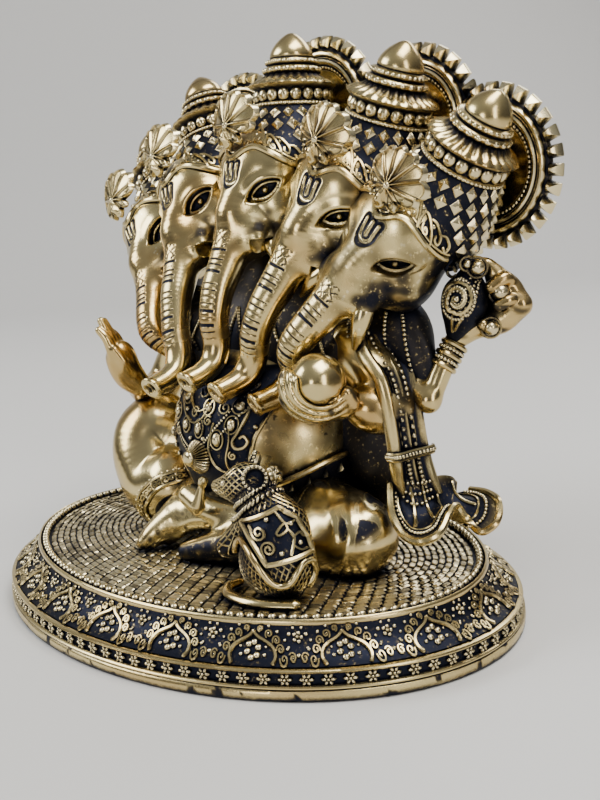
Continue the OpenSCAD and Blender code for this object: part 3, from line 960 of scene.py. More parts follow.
def halo_shape(lo, hi):
    """A dished disc with a bead ring, two mouldings, faceted studs and long petals on its back, kept
    between two planes through the fan point that lean lo and hi from the head's own axis."""

    def spokes(n, shift=0.0):
        """Directions from the middle to n places evenly around the disc."""
        t = 2 * pi * (np.arange(n) + shift) / n
        return np.stack([np.sin(t), 0 * t, np.cos(t)], -1)
    s = Shape()
    prof = [(0.01, -1.6), (4, -1.55), (8, -1.3), (11, -0.8), (13.0, -0.2), (13.6, 0.1), (15.2, 0.1),
            (15.35, 0.8), (15.8, 1.3), (16.4, 1.45), (16.95, 1.1), (17.1, 0.5), (17.3, 0.4), (17.45, 0.75),
            (17.65, 0.75), (17.8, 0.4), (18.0, 0.5), (18.2, 1.2), (18.7, 1.6), (19.3, 1.5), (19.75, 0.9),
            (19.85, 0.0), (20.3, -0.3), (20.6, -0.9), (20.6, -2.4), (20.2, -3.0), (19.2, -3.3),
            (18.6, -2.6), (17.8, -2.6), (17.4, -3.2), (16.4, -3.2), (16.0, -2.6), (7.0, -2.5), (6.6, -3.1),
            (5.2, -3.4), (4.8, -2.6), (3.4, -3.4), (0.01, -3.7)]
    old = {5: 0.7, 6: 0.8, 7: 0.5, 11: 0.9, 12: 1, 15: 1, 16: 0.8, 21: 0.9, 22: 0.9, 23: 0.5, 27: 0.95,
           28: 0.95, 31: 1, 32: 1, 35: 0.9}
    around = 168
    v, q = lathe(prof, around)
    s.add(np.stack([v[:, 0], -v[:, 2], v[:, 1]], -1) + HALO_C, q,
          patina_and_shade=np.repeat([0.95 * old.get(i, 0) for i in range(len(prof))], around))
    stamp(s, BEAD, HALO_C + spokes(62) * 14.4 + np.array([0, -0.1, 0]), (0, -1, 0), (0, 0, 1),
          (0.62, 0.62, 0.8))
    spoke = spokes(22)                               # long petals round a boss on the back, then beads
    for r, y, size in ((11.6, 2.5, (1.25, 3.9, 0.9)), (18.2, 2.6, (0.6, 0.6, 0.7))):
        stamp(s, BEAD, HALO_C + spoke * r + np.array([0, y, 0]), (0, 1, 0), spoke, size)
    out = spokes(27, 0.5)                            # the faceted studs around the rim
    c = np.array([[1, 1], [-1, 1], [-1, -1], [1, -1]], float)
    rows = [np.c_[c * 0.8, [-0.75] * 4], np.c_[c, [-0.35] * 4], np.c_[c * 0.94, [0.0] * 4],
            np.c_[c * 0.20, [1.0] * 4]]
    tv, tq = sweep(rows)
    tv = np.concatenate([tv, [[0, 0, 1.08], [0, 0, -0.75]]])
    tt = [[16, 12 + j, 12 + (j + 1) % 4] for j in range(4)] + [[17, (j + 1) % 4, j] for j in range(4)]
    stamp(s, (tv, tq, tt), HALO_C + out * 22.4 + np.array([0, 0.6, 0]), (0, -1, 0), out, (1.9, 2.3, 2.7))
    (v, q, t), old = s.arrays(), s.patina_and_shade_values()
    for lean, side in ((lo, -1), (hi, 1)):
        nrm = np.array([math.cos(math.radians(lean)), 0, -math.sin(math.radians(lean))]) * side
        past = v @ nrm
        v = v - np.maximum(past, 0)[:, None] * nrm
    return Shape().add(v, q, t, old)


# how far the tip of each trunk is drawn aside
TAIL_SHIFT = {1: (0, 9, 5), 2: (0, -4, 0), 3: (0, 0, 0), 4: (0, 1, 0), 5: (0, 8, 1)}


def tail_bend(k):
    """Eases the lower half of trunk k aside, so that the five tips lie side by side."""
    def move(v):
        v = v.copy()
        t = np.clip((66 - v[:, 2]) / 24, 0, 1)
        return v + (t * t * (3 - 2 * t))[:, None] * np.array(TAIL_SHIFT[k], float)
    return move


def tusk_set(v, k):
    """Only the outermost left head bares its whole tusks; on the others a stub shows under the cheek."""
    return v if k == 5 else (v - (0, 8.8, 86)) * (0.86, 0.8, 0.55) + (0, 14.0, 84)


HEAD_SHADE_DARKENING = {4: 0.08, 5: 0.28}           # painted shade: the heads on the figure's left, away from the window light, are coloured darker than the rest


def darken_head_as_shade(shape, k):
    # painted shade: raises the darkening value of heads 4 and 5
    shape.a = [np.clip(a + HEAD_SHADE_DARKENING.get(k, 0), 0, 0.93) for a in shape.a]
    return shape


def heads():
    skull = sculpt(skull_field, (-19, -4, 72), (19, 40, 120), 0.30 * COARSE, patina_and_shade=head_patina_and_shade)
    trunk = sculpt(trunk_field, (-9, -26, 33), (9, 12, 85), 0.22 * COARSE, patina_and_shade=head_patina_and_shade)
    tusk = sculpt(tusk_field, (-17, 0, 66), (17, 13, 92), 0.30 * COARSE)
    crown, crest = crown_shape(), crest_shape()
    tusks = Shape()
    lean = [LEANS[k] for k in range(1, 6)]
    for k in range(1, 6):
        place = fan(k)
        piece(f"head_{k}", darken_head_as_shade(Shape().join(skull, place), k), SMOOTH, f"head_{k}")
        piece(f"trunk_{k}", Shape().join(trunk, lambda v: place(tail_bend(k)(v))), SMOOTH, f"trunk_{k}")
        tusks.join(tusk, lambda v: place(tusk_set(v, k)))
        piece(f"crown_{k}", Shape().join(crown, place), ORNAMENT, f"crown_{k}", slot="dark_patina")
        piece(f"crest_{k}", Shape().join(crest, place), ORNAMENT, f"crest_{k}")
        lo = -60 if k == 1 else (lean[k - 2] - lean[k - 1]) / 2
        hi = 60 if k == 5 else (lean[k] - lean[k - 1]) / 2
        piece(f"halo_{k}", Shape().join(halo_shape(lo, hi), place), ORNAMENT, f"halo_{k}")
    piece("tusks", tusks, SMOOTH, "tusks")


heads()


# ---------------------------------------------------------------- the oval plinth
def oval(t, inset, z):
    return np.stack([(BASE_A - inset) * np.cos(t), (BASE_B - inset) * np.sin(t), z + 0 * t], -1)


def even(inset, n, shift=0.0):
    """n oval parameters at equal distances along the oval at an inset."""
    t = np.linspace(0, 2 * pi, 1441)
    p = oval(t, inset, 0)
    run = np.concatenate([[0], np.cumsum(np.linalg.norm(np.diff(p, axis=0), axis=1))])
    return np.interp((np.arange(n) + shift) / n * run[-1], run, t)


def outward(t, inset, tip=0.0):
    """Outward direction of the oval, tipped up by an angle."""
    n = unit(np.stack([(BASE_B - inset) * np.cos(t), (BASE_A - inset) * np.sin(t), 0 * t], -1))
    n = n * math.cos(tip)
    n[:, 2] = math.sin(tip)
    return n


SKIRT = np.array([(FLANGE_Z + 0.9, 2.2), (FLANGE_Z + 1.8, 4.2), (FLANGE_Z + 3.2, 6.2), (FLANGE_Z + 5.0, 8.2),
                  (FLANGE_Z + 7.0, 9.8), (RIM_Z - 1.4, 10.9)])      # height and inset of the hollow skirt
SKIRT_MID = 7.2                     # inset at which lengths around the skirt are measured
ARCHES, ARCH_SHIFT = 20, 0.5        # an arch stands either side of the plinth's front
# even steps around the skirt as oval parameters, and the length of one lap
LAP = even(SKIRT_MID, 1440)
GIRTH = np.linalg.norm(np.diff(oval(np.r_[LAP, LAP[:1]], SKIRT_MID, 0), axis=0), axis=1).sum()


def on_skirt(x, z, lift=0.0):
    """Points x mm around the skirt and z high, and which way the surface faces there."""
    t = np.interp(np.asarray(x, float) / GIRTH % 1.0, np.linspace(0, 1, 1441), np.r_[LAP, LAP[0] + 2 * pi])
    z = np.asarray(z, float) + 0 * t
    inset = np.interp(z, SKIRT[:, 0], SKIRT[:, 1])
    slope = np.interp(z, SKIRT[:, 0], np.gradient(SKIRT[:, 1], SKIRT[:, 0]))
    n = outward(t, inset)
    n = unit(n + np.stack([0 * t, 0 * t, slope], -1))
    return oval(t, inset, z) + n * lift, n


def skirt_line(s, xz, r=0.4, n=16, lift=0.25):
    c = spline(xz, n)
    p, nm = on_skirt(c[:, 0], c[:, 1], lift)
    tube(s, p, r, 6, up=nm)


def skirt_bead(s, x, z, r, tall=0.8):
    p, nm = on_skirt([x], [z])
    stamp(s, BEAD, p, nm, (0, 0, 1), (r, r, r * tall))


def arch_unit(s, x0, w):
    """One repeat of the skirt's ornament: an ogee arch with a flower, curls and a daisy."""
    lo, hi = SKIRT[0, 0], SKIRT[-1, 0]
    h = hi - lo

    def scroll(x, z, r, start, way):
        c = curl((0, 0), r, start, way * 1.25, 14, 0.25)
        skirt_line(s, np.stack([x0 + m * (x + c[:, 0]), lo + z * h + c[:, 1]], -1), 0.36, 16)
    for m in (-1, 1):
        leg = [(5.6, 0.04), (6.3, 0.13), (6.3, 0.26), (5.4, 0.41), (3.6, 0.53), (1.7, 0.63), (0.6, 0.72),
               (0, 0.80)]
        skirt_line(s, [(x0 + m * a, lo + b * h) for a, b in leg], 0.62, 30)
        # leafy scrolls climb the arch's shoulder and trail out from its foot
        for x, z, r, start, way in ((7.7, 0.34, 1.1, 3.4, -1), (6.6, 0.56, 1.15, 3.6, -1),
                                    (4.5, 0.73, 1.1, 3.9, -1), (2.1, 0.87, 0.8, 4.2, -1),
                                    (8.6, 0.12, 1.15, 3.0, 1), (10.9, 0.16, 1.0, 2.6, -1)):
            scroll(x, z, r, start, way)
            skirt_bead(s, x0 + m * x, lo + z * h, 0.42)
        for x, z, r in ((9.6, 0.36, 0.5), (8.9, 0.58, 0.45), (6.8, 0.80, 0.5), (3.3, 0.22, 0.6),
                        (3.6, 0.40, 0.42), (4.4, 0.96, 0.45), (w / 2 - 2.4, 0.74, 0.6),
                        (w / 2 - 2.6, 0.40, 0.45), (w / 2 - 1.2, 0.92, 0.45)):
            skirt_bead(s, x0 + m * x, lo + z * h, r)
    for k in range(6):                              # the flower, petals around a pit
        a = 2 * pi * k / 6 + 0.3
        skirt_bead(s, x0 + 1.6 * math.cos(a), lo + 0.33 * h + 1.5 * math.sin(a), 1.05, 0.8)
    for k in range(5):                              # the daisy between two arches
        a = 2 * pi * k / 5
        skirt_bead(s, x0 + w / 2 + 1.0 * math.cos(a), lo + 0.66 * h + 0.95 * math.sin(a), 0.62, 0.8)
    skirt_bead(s, x0 + w / 2, lo + 0.66 * h, 0.6, 1.9)
    skirt_bead(s, x0 + w / 2, lo + 0.22 * h, 0.7)


def oval_band(profile, sides=480, wobble=None):
    t = circle(sides)
    rows = []
    for i, (inset, z) in enumerate(profile):
        d = 0 if wobble is None else wobble(t, i)
        rows.append(oval(t, inset + d, z))
    v, q = sweep(rows)
    return v, q[:, ::-1]


def worn(t, seed):
    """A gentle hand-cast unevenness around the oval."""
    g = np.random.default_rng(seed)
    return sum(g.uniform(0.3, 1) / f ** 0.6 * np.sin(f * t + g.uniform(0, 6.3))
               for f in (3, 7, 12, 23, 41, 67))


def plinth():
    foot = Shape()
    edge = [(30, 0), (1.2, 0), (0.5, 0.25), (0.15, 0.9), (0.1, 2.2), (0.35, 3.1), (0.9, 3.5)]
    v, q = oval_band(edge, wobble=lambda t, i: (0.10 * worn(t, i) + 0.12) * (i > 0))
    # patches where the edge has lost its shine
    chips = np.clip(1.6 * mottle(v.T, 7.0, 11) - 1.0, 0, 0.9)
    foot.add(v, q, patina_and_shade=np.maximum(np.repeat([0.9, 0.6, 0.1, 0, 0, 0.1, 0.6], 480), chips))
    ring = [(0.9, 3.5), (0.45, 3.75), (0.35, 4.15), (0.6, 4.5), (1.3, 4.7)]
    v, q = oval_band(ring, wobble=lambda t, i: 0.04 * worn(t, 9 + i))
    foot.add(v, q)
    band = [(1.3, 4.7), (1.9, 4.8), (2.0, FLANGE_Z - 0.9), (1.4, FLANGE_Z - 0.7), (1.4, FLANGE_Z),
            (30, FLANGE_Z)]
    v, q = oval_band(band)
    foot.add(v, q, patina_and_shade=np.repeat([0.8, 1, 1, 0.9, 0.9, 0.9], 480))
    stars, inset = 92, 1.9
    t = even(inset, stars)
    z = (4.8 + FLANGE_Z - 0.9) / 2
    out = outward(t, inset, 0.05)
    at = oval(t, inset + 0.05, z)
    side, up = upright(out)
    for k in range(6):                               # six-petal stars
        a = 2 * pi * k / 6
        petal = side * math.cos(a) + up * math.sin(a)
        stamp(foot, BEAD, at + petal * 1.15, out, petal, (0.64, 1.0, 1.0))
    stamp(foot, BEAD, at, out, (0, 0, 1), (0.6, 0.6, 1.4))
    piece("plinth_foot", foot, PLINTH, "plinth_foot")

    skirt = Shape()
    flange = [(1.6, FLANGE_Z - 0.7), (1.0, FLANGE_Z - 0.4), (0.8, FLANGE_Z), (1.0, FLANGE_Z + 0.4),
              (1.5, FLANGE_Z + 0.6), (2.2, FLANGE_Z + 0.6)]
    v, q = oval_band(flange, wobble=lambda t, i: 0.05 * worn(t, 20 + i))
    skirt.add(v, q)
    zz = np.linspace(SKIRT[0, 0], SKIRT[-1, 0], 14)
    v, q = oval_band([(np.interp(z, SKIRT[:, 0], SKIRT[:, 1]) + 0.25, z) for z in zz])
    skirt.add(v, q, patina_and_shade=0.97)
    top = RIM_Z
    rim = [(11.0, top - 1.6), (10.9, top - 0.9), (11.1, top - 0.3), (11.5, top), (11.9, top - 0.2),
           (12.2, top - 0.9), (12.4, top - 2.4)]
    v, q = oval_band(rim, wobble=lambda t, i: 0.04 * worn(t, 30 + i))
    skirt.add(v, q)
    w = GIRTH / ARCHES
    for k in range(ARCHES):
        arch_unit(skirt, (k + ARCH_SHIFT) * w, w)
    piece("plinth_skirt", skirt, PLINTH, "plinth_skirt")

    ring = Shape()
    count, inset = 150, 13.6
    t = even(inset, count)
    stamp(ring, BEAD, oval(t, inset, top - 0.8), (0, 0, 1), outward(t, inset), (1.42, 1.25, 1.5))
    piece("deck_bead_ring", ring, PLINTH, "deck_bead_ring")

    deck = Shape()
    v, q = oval_band([(13.0, DECK_Z - 3), (13.2, DECK_Z - 0.6), (40, DECK_Z - 0.5),
                      (BASE_B - 0.1, DECK_Z - 0.5)], 160)
    deck.add(v, q, patina_and_shade=1.0)
    a = circle(12)
    ring12 = np.stack([np.sign(np.cos(a)) * np.abs(np.cos(a)) ** 0.4,
                       np.sign(np.sin(a)) * np.abs(np.sin(a)) ** 0.4], -1)
    rows = [np.c_[ring12 * f, np.full(12, h)] for f, h in ((1.0, -0.5), (0.97, 0.4), (0.78, 0.85))]
    v, q = sweep(rows)
    brick = (np.concatenate([v, [[0, 0, 1.0]]]), q, [[36, 24 + j, 24 + (j + 1) % 12] for j in range(12)])
    row, inset, long, deep = 0, 16.5, 4.4, 2.2      # first row, and the pitch along and between the rows
    while BASE_B - inset > 1.5:
        around = max(int(round(oval_girth(inset) / long)), 4)
        t = even(inset, around, 0.5 * (row % 2))
        p = oval(t, inset, DECK_Z - 0.5) + np.c_[rng.normal(0, 0.05, (around, 2)), np.zeros(around)]
        out = outward(t, inset)
        lean = unit(np.array([0, 0, 1.0]) + out * (0.20 + rng.normal(0, 0.06, (around, 1))))
        before = deck.n
        stamp(deck, brick, p, lean, out, np.stack([rng.uniform(1.8, 2.05, around), 0 * t + 0.98,
                                                     rng.uniform(0.5, 0.85, around)], -1))
        deck.a[-1] = np.repeat(rng.uniform(0.1, 0.6, around), (deck.n - before) // around)
        row, inset = row + 1, inset + deep
    piece("plinth_deck", deck, PLINTH, "plinth_deck")


def oval_girth(inset):
    a, b = BASE_A - inset, BASE_B - inset
    return pi * (3 * (a + b) - math.sqrt((3 * a + b) * (a + 3 * b)))


plinth()


# ---------------------------------------------------------------- torso and lap
BC = BELLY_C                        # short, because nearly every form here is built from it


def belly_field(P):
    d = egg(P, BC, (BELLY_R + 0.3, BELLY_R, BELLY_R))
    navel = ball(P, (BC[0] + 3, BC[1] - BELLY_R - 1, BC[2] - 3), 2.4)
    return np.maximum(carve(d, navel, 2.0), DECK_Z - 0.6 - P[2])


def shoulder_field(P):
    """Chest, shoulders and back, a dark mass that fills in behind the trunks."""
    Q = both_sides(P)
    d = egg(P, (0, 19, 84), (36, 18, 21))
    d = blend(d, ball(Q, (38, 16, 82), 11.5), 8)
    d = blend(d, egg(P, (0, 27, 60), (35, 25, 34)), 10)
    d = blend(d, egg(P, (0, 30, 104), (20, 15, 14)), 8)
    d = blend(d, egg(Q, (50, 24, 85), (13, 9, 14)), 6)
    d = blend(d, egg(Q, (59, 22, 78), (7.5, 4.5, 10)), 4)
    d = blend(d, egg(P, (42, 23, 46), (15, 9, 16)), 12)          # the hip, dark behind the sash
    return np.maximum(d, DECK_Z + 1 - P[2])


def on_belly(xz):
    """Points at (x, z) on the belly's front."""
    xz = np.asarray(xz, float).reshape(-1, 2)
    y = BC[1] - np.sqrt(np.maximum(BELLY_R ** 2 - xz[:, 0] ** 2 - (xz[:, 1] - BC[2]) ** 2, 1))
    return np.stack([xz[:, 0], y, xz[:, 1]], -1)


def torso():
    h = 0.7 * COARSE
    dull = lambda p: np.clip(0.40 + 0.12 * mottle(p.T, 9.0, 4) + 0.5 * (mottle(p.T, 3.0, 7) > 1.7), 0, 0.8)
    piece("belly", sculpt(belly_field, (-36, -19, 16), (36, 53, 88), h, patina_and_shade=dull), SMOOTH, "belly")
    s = sculpt(shoulder_field, (-68, -4, 18), (68, 56, 120), 0.9 * COARSE, patina_and_shade=0.85)
    # strings of small beads lie over the dark chest
    for k in range(9):
        x0 = -34 + 8.5 * k
        for drift in (1.5, -1.2):
            studded(s, shoulder_field, [(x0 + drift * i, -6, 100 - 5.5 * i) for i in range(5)], 0.75, 16)
    for x0 in (-62, -56, -50, -44, 44, 50, 56, 62):
        studded(s, shoulder_field, [(x0 + 0.6 * i, 8, 100 - 6.5 * i) for i in range(5)], 0.75, 14)
    # the same strings cross on the back, in rows that hang from the neck
    for x0 in range(-27, 28, 9):
        studded(s, shoulder_field, [(0.55 * x0, 50, 106), (0.9 * x0, 54, 88), (1.1 * x0, 56, 66),
                                    (x0, 56, 46)], 0.8, 44)
    for z0 in (96, 84, 72, 60, 48):
        studded(s, shoulder_field, [(x, 54 - 0.01 * x * x, z0 + 0.012 * x * x) for x in range(-30, 31, 10)],
                0.8, 40)
    piece("shoulders", s, DARK, "shoulders")


# the chest ornament hangs between two edges that draw together downwards: height, left, right
PANEL = np.array([(33, -9, 17), (44, -9, 18.5), (47, -12, 19), (52, -17, 19), (60, -19, 21), (70, -21, 24),
                  (78, -22, 24)])


def panel_field(P):
    x, z = P[0], P[2]
    left, right = (np.interp(z, PANEL[:, 0], PANEL[:, i]) for i in (1, 2))
    d = egg(P, BC, (BELLY_R + 1.3, BELLY_R + 1.1, BELLY_R + 1.1))
    side = np.maximum(np.maximum(left - x, x - right), np.maximum(34 - z, z - 78))
    return -blend(-np.maximum(d, P[1] - BC[1]), -side, 1.5)


def drop_bead(s, x, z, w, h, tall=1.5):
    """A domed drop with a rim around it."""
    p, nm = snap(panel_field, on_belly([(x, z)]), 0.1)
    stamp(s, dome(14, 7), p, nm, (0, 0, 1), (w, h, tall))
    a = circle(22)
    ring = np.stack([x + (w + 0.55) * np.cos(a), z + (h + 0.55) * np.sin(a)], -1)
    p, nm = snap(panel_field, on_belly(ring), 0.3)
    tube(s, p, 0.36, 6, closed=True, up=nm)


def chest_ornament():
    s = sculpt(panel_field, (-26, -22, 32), (26, 18, 80), 0.5 * COARSE, patina_and_shade=0.97)

    def wire(xz, r=0.42, n=40, lift=0.35):
        p, nm = snap(panel_field, spline(on_belly(xz), n), lift)
        tube(s, p, r, 6, up=nm)

    def string(xz, r, count):
        studded(s, panel_field, on_belly(xz), r, count, 0.2)
    for x, z, w, h in ((-16, 55.5, 1.5, 2.0), (-12.5, 62.5, 1.4, 1.8), (-5.5, 59.5, 1.5, 1.9),
                       (1.2, 59.0, 1.3, 2.3), (8.6, 56.2, 1.7, 2.4), (13.2, 60.8, 1.6, 2.1),
                       (14.8, 66.4, 1.9, 1.9), (4.2, 65.6, 1.5, 1.8), (-7.5, 67.5, 1.6, 1.6),
                       (9.5, 71.5, 1.5, 1.5), (-16.5, 69.0, 1.3, 1.7)):
        drop_bead(s, x, z, w, h)
    edge_l = [(a, z) for z, a in PANEL[:, (0, 1)][1:]]
    edge_r = [(a, z) for z, a in PANEL[:, (0, 2)][1:]]
    wire([(a + 0.8, z) for a, z in edge_l], 0.6, 60)
    wire([(a - 0.8, z) for a, z in edge_r], 0.6, 60)
    string([(-18.5, 70), (-9, 56), (0, 52.5), (9, 61), (17, 72)], 0.55, 54)
    string([(-17, 64), (-8, 53.5), (0, 50.0), (10, 58.0), (18.5, 68)], 0.5, 54)
    wire([(-16, 73), (-6, 62), (2, 62), (8, 74)], 0.45, 50)
    wire([(-12, 74), (0, 64), (12, 74)], 0.45, 40)
    # the S-shaped hook and the fine chain at its left side
    wire([(18.2, 68.5), (17.2, 63.5), (15.4, 58.6), (14.0, 56.0), (14.8, 54.0), (17.0, 54.2), (18.0, 56.2),
          (17.2, 57.6), (16.0, 57.0)], 0.62, 60, 0.5)
    wire([(12.2, 62), (12.8, 56), (11.6, 50), (13.0, 46.2), (16.8, 46.6), (18.0, 49.0)], 0.42, 50)
    wire([(7.0, 61), (5.5, 53), (7.5, 48), (11.0, 46)], 0.38, 40)
    for c, r, turn in (((-1.5, 63.5), 1.9, 0.5), ((-10.5, 57.0), 1.8, 2.2), ((-14.5, 59.5), 1.5, 4.0),
                       ((4.8, 61.5), 1.6, 1.0), ((10.2, 65.6), 2.0, 2.6), ((-10.8, 71.5), 2.0, 0.0),
                       ((1.0, 70.0), 2.2, 3.0), ((16.5, 72.0), 1.8, 1.6), ((-3.5, 73.5), 1.6, 5.0),
                       ((-18.0, 62.0), 1.4, 1.0), ((13.8, 51.6), 1.3, 2.0)):
        wire(curl(c, r, turn, 1.35), 0.42, 30)
    bead = on_belly([(17.6, 48.9), (15.5, 48.0), (-13.6, 51.5), (-11.6, 49.2), (3.4, 56.0), (-2.6, 55.6),
                     (19.5, 60.5), (-20.0, 58.5), (6.9, 69.0), (-6.0, 64.0)])
    beads(s, panel_field, bead, 0.85, 0.3)
    piece("necklace", s, DARK, "necklace")

    # sunburst: fine rays rising to a domed boss
    s = Shape()
    c, nm = snap(panel_field, on_belly([(0.6, 50.2)]), 0.0)
    c, nm = c[0], unit(nm[0] + np.array([-0.12, 0, 0.05]))
    rays = 30
    prof = [(5.4, -0.6), (5.3, 0.3), (4.9, 0.9), (4.0, 1.7), (3.0, 2.7), (2.35, 3.5), (2.5, 3.7), (2.55, 4.1),
            (2.3, 4.6), (1.7, 5.0), (0.9, 5.25), (0.02, 5.3)]
    a = circle(rays * 6)
    x, y = upright(nm)
    rows = []
    for i, (r, h) in enumerate(prof):
        ray = 0.5 + 0.5 * np.cos(rays * a)
        rr = r * (1 + 0.10 * (ray - 0.5) * (1 < i < 5)) + (0.5 * (ray - 0.6) if i < 2 else 0)
        hh = h + (0.75 * (ray - 0.5) if i < 5 else 0)
        rows.append(c + (rr * np.cos(a))[:, None] * x + (rr * np.sin(a))[:, None] * y
                    + (hh + 0 * a)[:, None] * nm)
    v, q = sweep(rows)
    s.add(v, q)
    piece("sunburst_pendant", s, ORNAMENT, "sunburst_pendant")


# ---------------------------------------------------------------- belt
def belt_height(x, y):
    """Height of the belt's cord: it climbs steeply over the left hip and lies low before the lap."""
    return 29.0 + 0.46 * np.maximum(x, 8) + 0.12 * np.minimum(x, 8) + 0.10 * (y + 4.7)


def belt_field(P):
    d = egg(P, BC, (BELLY_R + 1.7, BELLY_R + 1.5, BELLY_R + 1.5))
    z = P[2] - belt_height(P[0], P[1])
    return -blend(-d, -np.maximum(z - 0.9, -15.0 - z), 1.2)


def belt():
    s = sculpt(belt_field, (-38, -21, 17), (38, 55, 66), 0.6 * COARSE, patina_and_shade=0.96)
    a = circle(200)
    ring = np.stack([36 * np.sin(a), BC[1] - 36 * np.cos(a), 0 * a], -1)
    ring[:, 2] = belt_height(ring[:, 0], ring[:, 1])
    p, nm = snap(belt_field, ring + (0, 0, 0.6), 0.5)
    tube(s, p, 1.0, 8, closed=True, up=nm)
    # triangular studs under the cord
    tri = np.array([[0, 1.2], [-0.9, -0.8], [0.9, -0.8]])
    rows = [np.c_[tri, [-0.4] * 3], np.c_[tri, [0.25] * 3], np.c_[tri * 0.15 + (0, -0.1), [1.0] * 3]]
    v, q = sweep(rows)
    stud = (v, q, [[6, 7, 8]])
    p, nm = snap(belt_field, ring[::5] + (0, 0, -3.4), 0.0)
    stamp(s, stud, p, nm, (0, 0, 1), (1.9, 2.0, 1.7))
    # the clasp at the cord's front end, a knot of beads, and a smooth tassel that hangs before the lap
    knot, around = np.array([26.0, -9.0, 45.2]), rng.normal(size=(26, 3))
    stamp(s, BEAD, knot + unit(around) * (2.0, 2.0, 2.6), unit(around), (0.1, 0.2, 1), (0.9, 0.9, 1.0))
    stamp(s, dome(12, 7, low=-1), [knot], (0, 0, 1), (1, 0, 0), (2.1, 2.1, 2.5))
    drop = spline([(11.0, -25.0, 45.5), (10.0, -25.4, 42.5), (9.0, -25.8, 38.5), (7.6, -26.2, 35.0)], 24)
    tube(s, drop, np.interp(np.arange(24), [0, 3, 6, 19, 23], [1.7, 1.5, 1.1, 2.4, 1.8]), 12)
    piece("waist_belt", s, DARK, "waist_belt")


# ---------------------------------------------------------------- legs
def right_leg_field(P):
    """The near-upright right leg: knee, calf and the wide trouser end above the foot."""
    d = chain(P, [(-22, 16, 36), (-38, 8, 44), (-47, 0, 49.5), (-47, -4, 42), (-40, -5, 33), (-30, -5, 33)],
              [17, 14.5, 13.2, 13.6, 14.2, 13.8], 30)
    fold = np.sin((P[0] * 0.5 + P[2] * 0.35 + P[1] * 0.2) * 0.62) * 0.16
    d = np.maximum(d + fold, DECK_Z - 0.4 - P[2])
    return d


HEM_AT, HEM_OUT = (-22.0, -17.0, 31.5), unit(np.array([0.62, -0.42, -0.66]))    # where the right trouser ends


def hem_side(P):
    """Signed distance to the slanting plane the right trouser ends at."""
    return sum(HEM_OUT[i] * (P[i] - HEM_AT[i]) for i in range(3))


def right_shin_field(P):
    d = right_leg_field(P)
    return -blend(-d, -hem_side(P), 1.0)


def foot_field(P):
    d = chain(P, [(-16, -8, 32), (-12, -17, 29), (-15.5, -25.5, 24.0), (-17.6, -30.0, 20.8)],
              [7.0, 6.4, 4.4, 2.4], 24)
    cloth = chain(P, [(-13.5, -22.5, 20.5), (-7, -21.5, 25.5), (0, -20.5, 28.8), (5.5, -20, 30.0)],
                  [1.5, 1.8, 2.2, 2.4], 16)
    web = chain(P, [(-12, -18, 28), (-5, -17, 31), (4, -16, 33)], [4.4, 5.0, 5.4], 14)
    d = blend(blend(d, cloth, 3.0), web, 4.0)
    toes = None
    for i in range(4):
        c = np.array([-19.6 + 1.7 * i, -31.0 + 0.9 * i, 19.9])
        b = bar(P, c + (0.3, 2.6, 1.4), c, 0.95, 0.85)
        toes = b if toes is None else np.minimum(toes, b)
    return np.maximum(blend(d, toes, 0.7), DECK_Z - 0.3 - P[2])


def left_leg_field(P):
    d = chain(P, [(18, 14, 32), (34, 5, 29.5), (48, 1.0, 29.0), (53, 0, 28.5)], [12.5, 12.6, 12.8, 11.6], 24)
    d = blend(d, bar(P, (50, -3, 27), (26, -15, 25), 9.5, 7.0), 7)
    return np.maximum(d + 0.2 * leg_folds(P)[0], DECK_Z - 0.4 - P[2])


def leg_folds(P):
    """Soft folds that fan down over the knee: their height from -1 to 1, and the distance from its top."""
    u = (P[0] - 46) * FACE_SIDE[0] + (P[1] - 0) * FACE_SIDE[1]
    drop = 47 - P[2]
    run = np.hypot(u, drop)
    way = np.arctan2(u, drop) * 10 + 0.12 * run + 1.0 + 1.3 * mottle(P, 16.0, 8)
    return np.sin(way) * np.clip((run - 4) / 7, 0, 1), run


def leg_age(p):
    """Streaks of patina in the folds, and dull patches over the rest."""
    fold, run = leg_folds(p.T)
    outer = np.clip(((p - (46, 0, 0)) @ FACE_SIDE + 5) / 5, 0, 1)
    streak = np.clip((fold + 0.1 + 0.6 * mottle(p.T, 7.0, 8)) * 2.4, 0, 1)
    streak = streak * np.exp(-((run - 13) / 4.5) ** 2) * outer
    return np.clip(np.maximum(1.2 * streak, 0.12 + 0.18 * mottle(p.T, 9.0, 3)), 0, 0.93)


def left_foot_shadow(p):
    """Painted shadow: the left foot, which lies in shadow, is coloured dark but for the ridge along its top.
    """
    ridge = np.interp(p[:, 0], [2, 12, 24], [24.0, 27.6, 31.4])
    return np.clip(0.9 - 0.8 * np.clip((p[:, 2] - ridge + 1.6) / 1.2, 0, 1) + 0.15 * mottle(p.T, 4.0),
                   0, 0.93)


